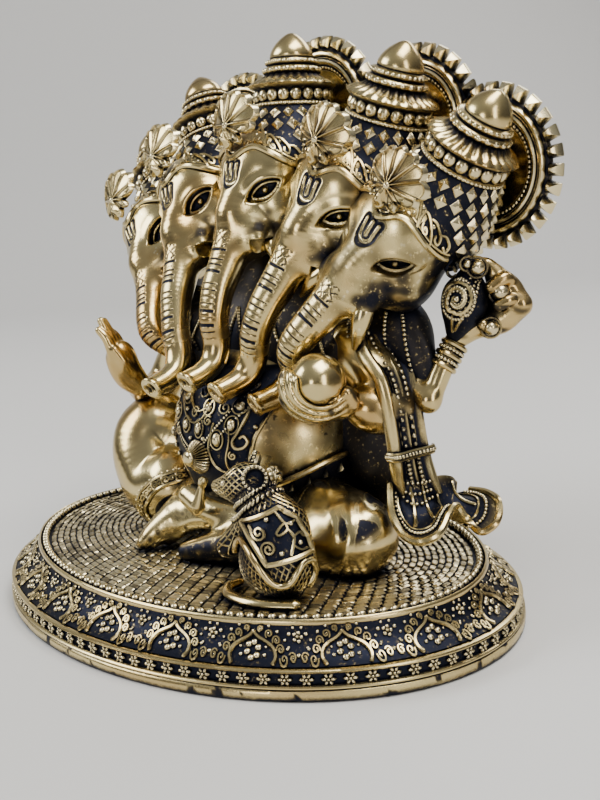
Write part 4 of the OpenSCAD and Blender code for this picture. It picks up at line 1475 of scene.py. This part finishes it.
def legs():
    h = 0.55 * COARSE
    lo, hi = (-64, -24, 16), (2, 36, 68)
    thigh = sculpt(lambda P: np.maximum(right_shin_field(P), 3.0 - P[1]), lo, hi, h)
    inside_end = lambda p: 0.95 * np.clip((hem_side(p.T) + 1.2) * 2, 0, 1)
    shin = sculpt(lambda P: np.maximum(right_shin_field(P), P[1] - 3.0), lo, hi, h, patina_and_shade=inside_end)
    piece("right_thigh", thigh, SMOOTH, "right_thigh")
    piece("right_shin", shin, SMOOTH, "right_shin")

    # the ornate hem: two cords, scrolls between them, small beads outside
    s = Shape()

    def at_hem(a, d):
        """Points at angle a around the trouser's end, d before its edge, on the leg."""
        n, along_edge = HEM_OUT, np.array([0.80, -0.03, 0.60])
        u = unit(along_edge - np.dot(along_edge, n) * n)
        w = np.cross(n, u)
        c = np.array([-27.0, -6.0, 33.0])
        c = c - n * hem_side(c) - np.asarray(d, float).reshape(-1, 1) * n
        a = np.asarray(a, float).reshape(-1, 1)
        p = c + 16 * (np.cos(a) * u + np.sin(a) * w)
        return snap(right_leg_field, p, 0.0, 8)
    a = circle(160)
    for d, r, lift in ((0.3, 0.75, 0.35), (5.6, 0.62, 0.35)):
        p, nm = at_hem(a, d + 0 * a)
        tube(s, p + nm * lift, r, 8, closed=True, up=nm)
    rows = []
    for d, lift in ((0.0, -0.8), (0.2, 0.45), (2.8, 0.55), (5.5, 0.45), (5.8, -0.8)):
        p, nm = at_hem(a, d + 0 * a)
        rows.append(p + nm * lift)
    v, q = sweep(rows)
    s.add(v, q, patina_and_shade=0.97)
    for k in range(16):
        t0 = 2 * pi * k / 16
        for sign in (1, -1):
            c = curl((0, 2.9), 1.55, 0.6 if sign > 0 else 3.7, sign * 1.2, 18)
            p, nm = at_hem(t0 + (c[:, 0] + sign * 1.2) / 14.0, c[:, 1])
            tube(s, p + nm * 0.8, 0.42, 6, up=nm)
        p, nm = at_hem([t0 + pi / 16] * 2, [1.6, 4.3])
        stamp(s, BEAD, p + nm * 0.5, nm, (0, 0, 1), (0.6, 0.6, 0.6))
    p, nm = at_hem(np.arange(40) * 2 * pi / 40, 6.9 + np.zeros(40))
    stamp(s, BEAD, p, nm, (0, 0, 1), (0.55, 0.55, 0.5))
    v, q, t = s.arrays()
    v[:, 2] = np.maximum(v[:, 2], DECK_Z - 0.4)
    piece("right_hem", Shape().add(v, q, t, s.patina_and_shade_values()), ORNAMENT, "right_hem")
    foot = sculpt(foot_field, (-26, -36, 16), (12, 0, 42), 0.35 * COARSE, patina_and_shade=patchy(0.3, 0.25, 5.0, 6, 0.85))
    piece("right_foot", foot, SMOOTH, "right_foot")

    lo, hi = (0, -28, 16), (70, 36, 56)
    part = lambda P: 32.0 - P[0]
    near = sculpt(lambda P: np.maximum(left_leg_field(P), part(P)), lo, hi, h, patina_and_shade=leg_age)
    far = sculpt(lambda P: np.maximum(left_leg_field(P), -part(P)), lo, hi, h, patina_and_shade=leg_age)
    piece("left_thigh", near, SMOOTH, "left_thigh")
    piece("left_shin", far, SMOOTH, "left_shin")

    def left_foot_field(P):
        toe = chain(P, [(24, -16, 25), (12, -22, 23), (2, -27, 21)], [6.5, 5.0, 3.0], 18)
        ridge = chain(P, [(16, -14, 30), (4, -18, 33), (-6, -18, 36)], [6, 5, 4], 14)
        return np.maximum(blend(toe, ridge, 4), DECK_Z - 0.3 - P[2])
    foot = sculpt(left_foot_field, (-14, -34, 16), (34, -4, 42), 0.4 * COARSE, patina_and_shade=left_foot_shadow)
    piece("left_foot", foot, SMOOTH, "left_foot")


torso()
chest_ornament()
belt()
legs()


# ---------------------------------------------------------------- arms and hands
SWEET_C, SWEET_R = np.array([48.0, -8.5, 77.0]), 8.4


def finger(P, pts, r0, r1, steps=12):
    return chain(P, pts, np.linspace(r0, r1, len(pts)), steps)


def right_hand_field(P):
    """A raised open palm, fingers together, the thumb folded across it."""
    d = chain(P, [(-44, -8, 67.5), (-46.0, -11, 72), (-46.0, -13.5, 78)], [4.1, 5.4, 4.6], 14)
    d = blend(d, egg(P, (-45.3, -13.6, 77.6), (3.6, 5.0, 6.4)), 3)
    for i, top in enumerate((90.4, 93.4, 93.0, 90.0)):
        s = i - 1.5
        base = np.array([-45.6 - 0.8 * s, -14.2 + 1.9 * s, 79])
        f = finger(P, [base, base + (-1.4, -1.4 - 0.1 * s, 6), base + (-3.6, -3.0 - 0.2 * s, top - 81)],
                   2.0, 1.35)
        d = blend(d, f, 0.7)
    return blend(d, finger(P, [(-43.0, -12, 73), (-41.2, -15.2, 77), (-43.0, -17.4, 81.5)], 2.0, 1.3), 1.2)


def left_hand_field(P):
    """A cupped hand around the sweet: its long fingers lie one within another below, the thumb beyond."""
    c, r = SWEET_C, SWEET_R
    u, out = (sum((P[i] - c[i]) * way[i] for i in range(2)) for way in (FACE_SIDE, FACE_OUT))
    w = P[2] - c[2]
    d = egg((u, out, w), (-0.6, -0.4, -1.6), (11.2, 9.0, 10.6))
    d = carve(d, np.maximum(np.hypot(u - 0.5, w - 0.5) - 6.0, -out), 1.4)
    q = np.hypot(u - 1.6, w - 1.2) + 0.04 * u
    d = d - 0.9 * np.sqrt(np.abs(np.sin(pi * (q - 6.9) / 2.1)) + 0.01) * (out > -4) + 0.6
    d = -blend(-d, -(0.5 * u + 0.87 * w - 0.2), 2.0)
    d = blend(d, chain(P, [c + (1.5, 4, -6), c + (3, 10, -8), c + (4, 15, -10)], [5.0, 4.8, 4.8], 12), 3)
    thumb = [c + FACE_SIDE * 5 + (0, 0, -9.0), c + FACE_SIDE * 9.0 + FACE_OUT * 2.5 + (0, 0, -7.0),
             c + FACE_SIDE * 8.2 + FACE_OUT * 4.4 + (0, 0, -3.2)]
    d = blend(d, finger(P, thumb, 3.0, 1.9), 1.0)
    return np.maximum(d, -(ball(P, c, r - 0.3)))


def rear_hand_field(P):
    """A hand bent sharply at the knuckles; its fingers come back over what it holds."""
    d = chain(P, [(69.4, 28, 85), (74.6, 31.5, 88.6), (81, 35.5, 90.6), (86.4, 37.6, 95.0)],
              [3.0, 3.4, 3.9, 3.2], 18)
    knuckles = chain(P, [(86.2, 37.6, 95.4), (83.4, 37.2, 100.4), (79.2, 35.2, 104.2)], [3.2, 3.2, 2.8], 14)
    d = blend(d, knuckles, 2)
    d = blend(d, egg(P, (79.5, 36.5, 97), (5.2, 3.0, 6.2)), 3)
    for pts, r0, r1 in (([(80.0, 35.4, 104.6), (77.4, 33.6, 107.2), (74.2, 30.4, 106.9)], 2.3, 1.7),
                        ([(83.6, 37.0, 101.2), (83.8, 34.0, 103.0), (81.8, 30.8, 100.9)], 2.4, 2.1),
                        ([(80.5, 35.0, 90.2), (80.8, 31.8, 88.6), (79.4, 29.2, 90.0)], 2.2, 1.9),
                        ([(85.4, 36.6, 96.0), (86.0, 33.2, 97.0), (84.0, 30.6, 95.6)], 2.0, 1.6)):
        d = blend(d, finger(P, pts, r0, r1), 0.6)
    return d


def mirror_x(shape):
    v, q, t = shape.arrays()
    return Shape().add(v * (-1, 1, 1), q[:, ::-1], t[:, ::-1], shape.patina_and_shade_values())


def arms():
    h = 0.36 * COARSE
    front = lambda P: blend(chain(P, [(-40, 14, 84), (-50, 13, 72), (-55, 9.5, 62.5)], [8.5, 7.4, 6.4], 16),
                            chain(P, [(-55, 9.5, 62.5), (-51, -1, 64), (-44.5, -8.5, 67.6)],
                                  [6.2, 5.2, 3.8], 14), 2)
    piece("right_front_arm", sculpt(front, (-64, -16, 52), (-28, 26, 96), h * 1.4), SMOOTH, "right_front_arm")
    piece("right_front_hand", sculpt(right_hand_field, (-56, -24, 60), (-36, -2, 98), h * 0.85), SMOOTH,
          "right_front_hand")
    front = lambda P: blend(chain(P, [(40, 14, 84), (51, 14, 75), (55, 13.5, 67)], [8.5, 8.6, 8.4], 16),
                            chain(P, [(55, 13.5, 67), (54.5, 8, 66.5), (52, 4, 68)], [8.4, 7.6, 5.4], 14), 2)
    # painted shade: the arm darkens towards its back, over mottled patches of patina
    shade = lambda p: np.clip(0.35 + 0.25 * mottle(p.T, 7.0, 5) + 0.05 * (p @ FACE_SIDE - 46), 0, 0.85)
    piece("left_front_arm", sculpt(front, (28, -4, 52), (66, 26, 96), h * 1.4, patina_and_shade=shade),
          SMOOTH, "left_front_arm")
    old = patchy(0.15, 0.4, 6.0, 5, 0.7)
    piece("left_front_hand", sculpt(left_hand_field, (33, -24, 60), (65, 16, 90), 0.8 * h, patina_and_shade=old), SMOOTH,
          "left_front_hand")
    sweet = lambda P: ball(P, SWEET_C, SWEET_R) + 0.12 * np.sin(P[2] * 0.9) * np.sin(P[0] * 0.8)
    lo, hi = SWEET_C - 9, SWEET_C + 9
    piece("sweet", sculpt(sweet, lo, hi, h * 1.3), SMOOTH, "sweet")
    rear = lambda P: blend(chain(P, [(44, 22, 84), (56, 21, 74), (65.5, 19.5, 68.4)], [7, 5.4, 4.0], 16),
                           chain(P, [(66.0, 19.5, 67.6), (67.2, 23.5, 76.0), (69.4, 28, 85.2)],
                                 [3.0, 3.4, 2.8], 14), 1.5)
    arm = sculpt(rear, (34, 10, 58), (76, 36, 98), h * 1.4)
    piece("left_rear_arm", arm, SMOOTH, "left_rear_arm")
    piece("right_rear_arm", mirror_x(arm), SMOOTH, "right_rear_arm")
    hand = sculpt(rear_hand_field, (62, 22, 78), (94, 44, 114), h * 0.85,
                  patina_and_shade=patchy(0.2, 0.3, 6.0, 9, 0.7))
    piece("left_rear_hand", hand, SMOOTH, "left_rear_hand")
    piece("right_rear_hand", mirror_x(hand), SMOOTH, "right_rear_hand")
    s = Shape()
    axis = unit(np.array([2.3, 5.2, 8.4]))
    x, y = square_to(axis, (0, 0, 1.0))
    for side in (1, -1):
        b = Shape()
        for i, (r, m) in enumerate(((3.5, 0.85), (3.5, 0.5), (3.5, 0.85), (3.5, 0.5), (3.5, 0.85))):
            c = np.array([67.7, 24.4, 77.8]) + axis * 1.75 * i
            ring = hoop(c, r, x, y, 60)
            if i % 2 == 0:
                tube(b, ring, m, 8, closed=True, up=unit(ring - c))
            else:
                stamp(b, BEAD, ring[::3], unit(ring - c)[::3], axis, (0.7, 0.7, 0.7))
        s.join(b if side > 0 else mirror_x(b))
    piece("bangles", s, ORNAMENT, "bangles")


# ---------------------------------------------------------------- what the rear hands hold
CONCH_C = np.array([73.4, 28.5, 97.4])


def conch_field(P):
    d = egg(P, CONCH_C, (7.2, 6.2, 7.4))
    d = blend(d, chain(P, [CONCH_C + (-1, 0, -4), CONCH_C + (-2.6, -0.8, -9), CONCH_C + (-3.4, -1.2, -13.5)],
                       [5.6, 3.4, 1.2], 14), 3)
    return blend(d, chain(P, [CONCH_C + (1.2, 0, 6), CONCH_C + (1.8, 0.3, 9.4)], [3.2, 1.6], 6), 2)


def conch():
    s = sculpt(conch_field, (60, 17, 80), (90, 44, 112), 0.4 * COARSE, patina_and_shade=0.95)
    face = unit(np.array([0.30, -0.92, 0.12]))
    x, y = upright(face)

    def spot(u, w):
        return CONCH_C + 8 * face + np.outer(np.atleast_1d(u), x) + np.outer(np.atleast_1d(w), y)

    def coil(t, start):
        """Points along the shell's spiral, which starts so far from its middle."""
        ang, rad = 2.2 + t * 2 * pi * 2.1, start + 5.6 * t ** 0.9
        return spot(rad * np.cos(ang), rad * np.sin(ang))
    # a coiled ridge with rows of beads between its turns, running off down the tail
    p, nm = snap(conch_field, coil(np.linspace(0, 1, 70), 0.9), 0.35, 8)
    tube(s, p, np.linspace(0.5, 0.75, 70), 6, up=nm)
    for start, t0, n, r in ((1.35, 0.12, 44, 0.72), (0.3, 0, 26, 0.6)):
        beads(s, conch_field, coil(np.linspace(t0, 0.96, n), start), r, 0.2, 8)
    beads(s, conch_field, spot(0, 0), 1.1, 0.2, 8)
    for u in (-2.2, 2.4):
        pts = [(u + 0.3, -5.5), (u * 0.7 - 1.2, -9), (u * 0.3 - 2.6, -12.5)]
        p, nm = snap(conch_field, spot(*np.array(spline(pts, 20)).T), 0.3, 8)
        tube(s, p, 0.5, 6, up=nm)
    for row in range(3):                                # bead rows that girdle the back of the shell
        a = np.linspace(0.4, 3.4, 22)
        c = CONCH_C + np.array([2.2 + 1.4 * row, 1.5, 0])
        ring = c + np.stack([0 * a + 0.0, 7 * np.cos(a) * -0.6, 7 * np.sin(a - 0.4)], -1)
        beads(s, conch_field, ring, 0.6, 0.2, 8)
    for c in ((72.0, 24.5, 106.0), (77.6, 27.0, 106.4)):
        c = np.array(c)
        pts = [c + (1.7 * math.cos(a), 0.4 * a / 4, 1.7 * math.sin(a)) for a in np.linspace(0, 5.6, 22)]
        tube(s, pts, np.linspace(0.7, 0.45, 22), 6)
    knob = dome(14, 8, low=-1)
    for right, up, r in ((9.6, 1.9, 2.5), (6.6, -8.2, 2.2), (3.2, 9.4, 2.2), (0.4, 10.6, 1.3)):
        at = CONCH_C + FACE_SIDE * right + FACE_OUT * 5.2 + (0, 0, up)
        stamp(s, knob, [at], FACE_OUT, (0, 0, 1), (r, r, r))
        ring = hoop(at, r + 0.7, FACE_SIDE, (0, 0, 1.0), 20) - FACE_OUT * 0.8
        tube(s, ring, 0.5, 6, closed=True, up=FACE_OUT)
    a = circle(34)                  # a bead row around the whole shell
    beads(s, conch_field, spot(7.0 * np.cos(a), 7.0 * np.sin(a)), 0.7, 0.2, 8)
    piece("conch", s, DARK, "conch")


def axe():
    """A short battle axe: turned handle, collar and a curved blade."""
    s = Shape()
    base, tip = np.array([-74.5, 27.5, 82.0]), np.array([-73.0, 26.0, 110.0])
    t = np.linspace(0, 1, 60)
    line = base + t[:, None] * (tip - base)
    r = 1.3 + 0.35 * np.abs(np.sin(t * 28)) + 0.7 * np.exp(-((t - 0.98) / 0.03) ** 2)
    tube(s, line, r, 12)

    def blade(P):
        x, y, z = P[0] + 73.5, P[1] - 26.5, P[2] - 101.5
        shape = np.maximum(np.hypot(x + 9, z) - 9.5, 4.6 - np.hypot(x + 7.2, np.abs(z) - 10.6))
        shape = np.maximum(shape, x - 1.0)
        return np.maximum(shape, np.abs(y) - (0.5 + 0.09 * np.clip(x + 18, 0, 12)))
    s.join(sculpt(blade, (-95, 22, 88), (-70, 31, 116), 0.4 * COARSE, patina_and_shade=0.3))
    for z in (96.5, 106.5):
        tube(s, hoop((-73.7, 26.4, z), 2.3, (1, 0, 0), (0, 1, 0), 24), 0.6, 6, closed=True)
    stamp(s, dome(14, 8, low=-1), [tip + (0, 0, 1.2)], (0, 0, 1), (1, 0, 0), (1.7, 1.7, 2.4))
    for k in range(3):
        p = curl((-79.5 - 0.4 * k, 98 + 3.5 * k), 1.4, 1.0 + k, 1.3)
        for y in (25.2, 27.8):
            tube(s, np.stack([p[:, 0], 0 * p[:, 0] + y, p[:, 1]], -1), 0.4, 6)
    piece("axe", s, DARK, "axe")


# ---------------------------------------------------------------- sash over the left shoulder
def sash_lines():
    """The two edges of the sash, from the shoulder down to where its hem starts to flare."""
    inner = [(47, 8, 90), (52.3, 6, 82.5), (59.0, 5, 76.0), (61.5, 5, 67), (62.3, 6, 54), (61.2, 8, 46),
             (61.0, 9.5, 40)]
    outer = [(45, 22, 92), (53, 22, 85), (60.5, 19.5, 76.5), (63.2, 18.5, 68), (64.6, 19.5, 54),
             (66.8, 20, 46), (68.4, 21, 40)]
    return spline(inner, 60), spline(outer, 60)


def sash():
    a, b = sash_lines()
    across = unit(b - a)
    down = unit(np.gradient((a + b) / 2, axis=0))
    out = unit(np.cross(down, across))
    if (out[:, 0].mean()) < 0:
        out = -out
    # cross-section: place across (0..1) and height of the face; its back runs straight
    sec = np.array([(-0.02, -1.6), (-0.07, -0.6), (-0.06, 0.8), (0.0, 1.9), (0.07, 2.3), (0.14, 1.9),
                    (0.19, 0.9), (0.23, 0.35), (0.30, 0.1), (0.37, 0.05), (0.43, 0.25), (0.475, 0.9),
                    (0.50, 1.1), (0.525, 0.9), (0.57, 0.25), (0.63, 0.05), (0.70, 0.1), (0.77, 0.3),
                    (0.82, 0.9), (0.88, 1.5), (0.95, 1.3), (1.0, 0.5), (1.01, -0.6), (0.96, -1.6),
                    (0.5, -1.8)])
    patina_and_shade = np.array([0.3, 0.1, 0, 0, 0, 0, 0.3, 0.9, 1, 1, 0.9, 0.4, 0, 0.4, 0.9, 1, 1, 0.9, 0.3, 0, 0, 0.2,
                    0.5, 0.8, 0.9])
    rows = a[:, None] + sec[None, :, :1] * (b - a)[:, None] + sec[None, :, 1:] * out[:, None]
    s = Shape().add(*capped(rows), np.r_[np.tile(patina_and_shade, len(a)), 1, 1])

    def at_runs(run, line):
        return np.stack([np.interp(run, np.linspace(0, 1, 60), line[:, i]) for i in range(3)], -1)
    for f, beaded in ((0.30, False), (0.365, True), (0.64, True), (0.705, False)):
        run = np.linspace(0.03, 0.97, 30 if beaded else 60)
        at, nm = at_runs(run, a + f * (b - a)), at_runs(run, out)
        if beaded:
            stamp(s, BEAD, at + nm * 0.2, nm, (0, 0, 1), (0.95, 0.95, 1.0))
        else:
            tube(s, at + nm * 0.1, 0.24, 6, up=nm)
    # clasp band with a ribbed edge
    i = int(np.argmin(np.abs(a[:, 2] - 53)))
    for dz, r in ((0.9, 0.55), (-0.9, 0.55), (0, 0.8)):
        mid = [a[i] + (-0.8, -1.2, dz), a[i] + out[i] * 2.6 + (0, 0, dz),
               (a[i] + b[i]) / 2 + out[i] * 2.0 + (0, 0, dz), b[i] + out[i] * 1.8 + (0, 0, dz),
               b[i] + (0.6, 1.4, dz)]
        p = spline(mid, 44)
        if dz:
            tube(s, p, r, 6)
        else:
            stamp(s, BEAD, p[::2], np.broadcast_to(out[i], (22, 3)), (0, 0, 1), (0.8, 0.8, 1.0))
    piece("sash", s, DARK, "sash")

    # the hem: a ruffled flare whose lip rolls over, with a beaded trim along it
    lip = spline([(59.5, 7.5, 44), (64.2, 2.6, 37.5), (70.4, 0.4, 32.4), (76.4, 1.2, 31.4), (79.2, 6, 33.2),
                  (77.8, 12, 36.8), (76.4, 17.5, 37.8), (78.4, 20.5, 32.6), (83.0, 20.6, 30.2),
                  (85.6, 24.5, 33.0), (83.2, 28.6, 37.6), (76.8, 31.5, 38.6), (70.0, 32.0, 38.2)], 120)
    root = spline([(61.0, 8, 47), (62.5, 10.5, 45.4), (64.5, 14.5, 44.6), (66.0, 18, 44.6), (67.5, 22, 44.8),
                   (68.0, 26.0, 43.5), (67.5, 29.0, 41.0)], 120)
    f = np.linspace(0, 1, 22)
    mid = (lip + root) / 2
    inward = unit(np.array([64.0, 16.0, 30.0]) - mid) * 1.0
    sag = 4.6 * np.sin(pi * f)
    front = root[:, None] * (1 - f)[None, :, None] + lip[:, None] * f[None, :, None] \
        + inward[:, None] * sag[None, :, None]
    nrm = unit(np.cross(np.gradient(front, axis=0), np.gradient(front, axis=1)))
    flip = np.sign((nrm[60, 8] * -inward[60]).sum())
    nrm = nrm * flip
    rows = np.concatenate([front, (front - nrm * 1.5)[:, ::-1]], axis=1)
    v, q, tri = capped(rows)
    if flip < 0:
        q, tri = q[:, ::-1], [t[::-1] for t in tri]
    patina_and_shade = np.r_[np.interp(f, [0, 0.15, 0.85, 1], [0.5, 0.97, 0.97, 0.4]), np.interp(f, [0, 1], [0.0, 0.1])]
    s = Shape().add(v, q, tri, np.r_[np.tile(patina_and_shade, len(lip)), 0.5, 0.5])
    edge = front[:, -1]
    tube(s, edge, 1.15, 8)
    inner = front[:, -4] + nrm[:, -4] * 0.15
    stamp(s, BEAD, inner[::2], nrm[::2, -4], (0, 0, 1), (0.62, 0.62, 0.8))
    tube(s, front[:, -6] + nrm[:, -6] * 0.1, 0.38, 6)
    # vertical folds seen inside the first curl, and gathered beads under the clasp
    for i, r in ((26, 0.7), (44, 0.55), (70, 0.6), (96, 0.55)):
        tube(s, front[i, 2:16] + nrm[i, 2:16] * 0.2, np.linspace(0.4, r, 14), 6)
    for j in range(3):
        row = root + (front[:, 3 * j + 1] - root) + nrm[:, 2] * 0.4
        stamp(s, BEAD, row[2:60:7], nrm[2:60:7, 2], (0, 0, 1), (0.6, 0.6, 0.7))
    piece("sash_hem", s, ORNAMENT, "sash_hem")


arms()
conch()
axe()
sash()


# ---------------------------------------------------------------- the mouse at the figure's feet
HAUNCH = np.array([50.0, -30.5, 29.6])


def mouse_torso_field(P):
    d = egg(P, HAUNCH, (11.0, 10.4, 10.8))
    d = blend(d, chain(P, [(49.5, -28.5, 38.5), (44.5, -29, 43), (39.5, -29, 46.5)], [8.2, 6.8, 5.6], 14), 4)
    d = blend(d, chain(P, [(41, -31, 38), (37, -33, 34), (34, -35, 31.5)], [5.2, 4.4, 3.2], 12), 2.5)
    return d


def mouse_body_field(P):
    return np.maximum(mouse_torso_field(P), DECK_Z - 0.3 - P[2])


EAR = 0.82                               # size of the ears against their drawn profile


def mouse_head_field(P):
    d = egg(P, (38.0, -29.0, 49.6), (6.6, 5.8, 6.0))
    snout = chain(P, [(36, -30, 49.0), (31.5, -31.6, 48.4), (27.6, -32.6, 48.2)], [5.0, 3.2, 1.5], 12)
    return blend(d, snout, 2.5)


def net(s, field, origin, axis, run, reach, strands, twist, keep=None, r=0.3, n=110):
    """Two families of crossing wires that wind about an axis and lie on a field's surface."""
    axis = unit(axis)
    x, y = square_to(axis, (0.3, 0.9, 0.2))
    t = np.linspace(0, 1, n)
    for way in (-1, 1):
        for k in range(strands):
            a = 2 * pi * k / strands + way * twist * t
            spoke = np.cos(a)[:, None] * x + np.sin(a)[:, None] * y
            p = march(field, origin + (run * t)[:, None] * axis + reach * spoke, -spoke, 34)
            ok = np.abs(field(p.T)) < 0.25
            ok &= np.r_[0, np.linalg.norm(np.diff(p, axis=0), axis=1)] < 1.2
            if keep is not None:
                ok &= keep(p)
            nm = unit(grad(field, p))
            cuts = np.flatnonzero(np.diff(np.r_[0, ok.astype(int), 0]))
            for i, j in zip(cuts[::2], cuts[1::2]):
                if j - i > 4:
                    tube(s, p[i:j] + nm[i:j] * 0.12, r, 5, up=nm[i:j])


def flank(u, w):
    """Points u along the flank and w high, in front of the mouse's outer side."""
    u, w = np.broadcast_arrays(np.atleast_1d(u).astype(float), np.atleast_1d(w).astype(float))
    return HAUNCH + np.outer(u, FACE_SIDE) + np.outer(w, (0, 0, 1.0)) + FACE_OUT * 22


# corners of the blanket on the flank: along it, and above the haunch's middle
BLANKET = np.array([(-9.6, 12.2), (1.2, 16.6), (6.0, 13.8), (8.8, 8.0), (9.9, 4.0), (-2.9, 2.2)])


def on_flank(field, u, w, lift):
    """The same points brought straight in onto a field's surface, with the surface's normals."""
    p = march(field, flank(u, w), -FACE_OUT, 60)
    nm = unit(grad(field, p))
    return p + nm * lift, nm


def inside(u, w, poly):
    """Signed distance to a closed polygon, negative inside."""
    best, sign = None, 1.0
    n = len(poly)
    for i in range(n):
        a, b = poly[i], poly[(i + 1) % n]
        e = b - a
        t = np.clip(((u - a[0]) * e[0] + (w - a[1]) * e[1]) / (e @ e), 0, 1)
        d = np.hypot(u - a[0] - t * e[0], w - a[1] - t * e[1])
        best = d if best is None else np.minimum(best, d)
        cross = ((a[1] <= w) & (b[1] > w)) | ((b[1] <= w) & (a[1] > w))
        hit = cross & (u < a[0] + (w - a[1]) / (b[1] - a[1] + 1e-12) * e[0])
        sign = np.where(hit, -sign, sign)
    return best * sign


def flank_uv(P):
    d = [P[i] - HAUNCH[i] for i in range(3)]
    return d[0] * FACE_SIDE[0] + d[1] * FACE_SIDE[1], d[2] + 0 * d[0]


def blanket_field(P):
    u, w = flank_uv(P)
    side = inside(u, w, BLANKET)
    shell = mouse_torso_field(P) - 1.1
    out = sum((P[i] - HAUNCH[i]) * FACE_OUT[i] for i in range(3))
    return -blend(-shell, -np.maximum(side, -1.0 - out), 0.8)


def mouse():
    body = sculpt(mouse_body_field, (28, -46, 16), (66, -12, 56), 0.42 * COARSE, patina_and_shade=0.9)

    def bare(p):
        u, w = flank_uv(p.T)
        out = (p - HAUNCH) @ FACE_OUT
        return ~((inside(u, w, BLANKET) < 0.3) & (out > -1)) & (p[:, 2] > DECK_Z)
    net(body, mouse_body_field, HAUNCH + (5, -1, -13), (-0.42, 0.05, 0.9), 39, 24, 36, 2.8, bare, 0.3, 130)
    piece("mouse_body", body, DARK, "mouse_body", slot="polished_brass")

    head = sculpt(mouse_head_field, (18, -40, 40), (44, -20, 60), 0.36 * COARSE, patina_and_shade=0.92)
    net(head, mouse_head_field, np.array([45.0, -27.5, 50.2]), (-0.94, -0.27, -0.1),
        19, 16, 20, 2.4, None, 0.28, 70)
    for c, face in (((43.9, -31.3, 52.8), FACE_OUT + (-0.15, 0, 0.2)),
                    ((37.0, -25.5, 54.8), np.array([-0.5, -0.6, 0.4]))):
        c, face = np.array(c), unit(face)
        prof = [(0.02, -0.9), (2.0, -0.6), (3.0, 0.1), (3.4, 1.0), (4.1, 1.3), (4.6, 0.8), (4.5, -0.2),
                (3.2, -1.5), (0.02, -2.0)]
        v, q = lathe(prof, 36)
        x, y = upright(face)
        patina_and_shade = np.repeat([1, 1, 0.9, 0.3, 0, 0, 0.3, 0.6, 0.8], 36)
        head.add(c + EAR * (v[:, :1] * x + v[:, 1:2] * y + v[:, 2:] * face), q, None, patina_and_shade)
        ring = hoop(c, EAR * 4.1, x, y, 18) + 1.2 * face
        stamp(head, BEAD, ring, face, (0, 0, 1), (0.55, 0.55, 0.4))
    for c in ((33.6, -35.4, 50.6), (32.4, -28.0, 51.8)):
        p, nm = snap(mouse_head_field, [c], 0.1)
        stamp(head, BEAD, p, nm, (0, 0, 1), (1.15, 1.15, 0.9))
    stamp(head, BEAD, [(26.4, -32.8, 48.2)], (-1, -0.1, 0), (0, 0, 1), (0.9, 0.9, 0.9))
    # collar of two twisted cords
    for k, r in ((0, 7.6), (1, 8.4)):
        c = np.array([39.4, -29.4, 46.2]) + k * np.array([1.6, 0.2, -2.2])
        axis = unit(np.array([0.50, 0.1, -0.8]))
        x, y = square_to(axis, (0, 1.0, 0))
        p, nm = snap(mouse_torso_field, hoop(c, r, x, y, 34), 0.35, 8)
        along_cord = unit(np.roll(p, -1, 0) - np.roll(p, 1, 0))
        slant = unit(along_cord + 0.9 * np.cross(nm, along_cord))
        stamp(head, dome(8, 5, low=-0.6), p, nm, slant, (0.62, 1.35, 0.95))
    piece("mouse_head", head, DARK, "mouse_head", slot="polished_brass")

    s = sculpt(blanket_field, (34, -48, 24), (70, -16, 54), 0.4 * COARSE, patina_and_shade=0.98)

    def sew(uw, r=0.5, n=30, closed=False, lift=0.4):
        c = spline(uw, n, closed)
        p, nm = on_flank(blanket_field, c[:, 0], c[:, 1], lift)
        tube(s, p, r, 6, closed=closed, up=nm)

    def dot(u, w, r=0.8):
        p, nm = on_flank(blanket_field, u, w, 0.2)
        stamp(s, BEAD, p, nm, (0, 0, 1), (r, r, r))
    mid = BLANKET.mean(0)
    inset = mid + (BLANKET - mid) * 0.94
    corners = [a + (b - a) * f for a, b in zip(inset, np.roll(inset, -1, 0))
               for f in (0, 0.04, 0.33, 0.66, 0.96)]
    sew(corners, 0.8, 150, True, 0.5)
    for c, r, a0, turn, tail in (((-4.2, 10.2), 1.9, 3.3, 1.4, (-6.8, 11.6)),
                                 ((-1.8, 6.4), 1.9, 3.2, -1.5, (-2.8, 3.6))):
        w = curl(c, r, a0, turn, 26, 0.2)
        sew(np.concatenate([[tail], w]), 0.55, 44)
        dot(*w[-1], 0.7)
    for u, w in ((-2.0, 13.6), (1.6, 5.2), (4.4, 12.4), (6.6, 7.2)):
        dot(u, w, 0.85)
    sew([(0.2, 15.6), (2.2, 13.4), (3.4, 11.2), (1.4, 9.8), (0.6, 10.4), (2.4, 12.4), (4.0, 12.4),
         (5.4, 13.0)], 0.5, 44)
    sew([(3.4, 11.2), (5.0, 9.2), (4.8, 6.8), (4.0, 4.4)], 0.5, 30)
    sew([(5.0, 9.2), (6.6, 9.8), (7.6, 8.6)], 0.45, 20)
    sew([(4.8, 6.8), (6.8, 5.4), (8.4, 5.4)], 0.45, 20)
    piece("mouse_blanket", s, DARK, "mouse_blanket")

    # a smooth strap loops over the haunch, and the tail lies in a ring on the deck
    s = Shape()
    uw = [(-11.6, 2.6), (-11.0, 4.8), (-9.6, 6.2), (-7.6, 5.6), (-5.6, 3.0), (-3.9, 0.4), (-2.0, -2.3),
          (0.4, -3.9), (3.2, -3.2), (5.0, -0.6), (6.8, 1.6), (8.8, 1.5), (9.8, -0.6), (9.5, -3.2),
          (8.0, -6.0)]
    c = spline(uw, 90)
    p, nm = on_flank(mouse_torso_field, c[:, 0], c[:, 1], 0.7)
    ok = np.abs(mouse_torso_field(p.T) - 0.7) < 1.2
    tube(s, p[ok], 1.15, 10, up=nm[ok])
    ring = spline([(35.0, -32.6, 0.9), (34.4, -36.6, 0.3), (38.5, -39.8, 0), (45.6, -40.4, 0),
                   (52.1, -38.6, 0), (60.0, -33.6, 0)], 60) + (0, 0, DECK_Z + 1.3)
    tube(s, ring, np.linspace(1.5, 2.1, 60), 10, flat=0.8)
    piece("mouse_tail", s, SMOOTH, "mouse_tail")


mouse()

stage()
camera()
lights()
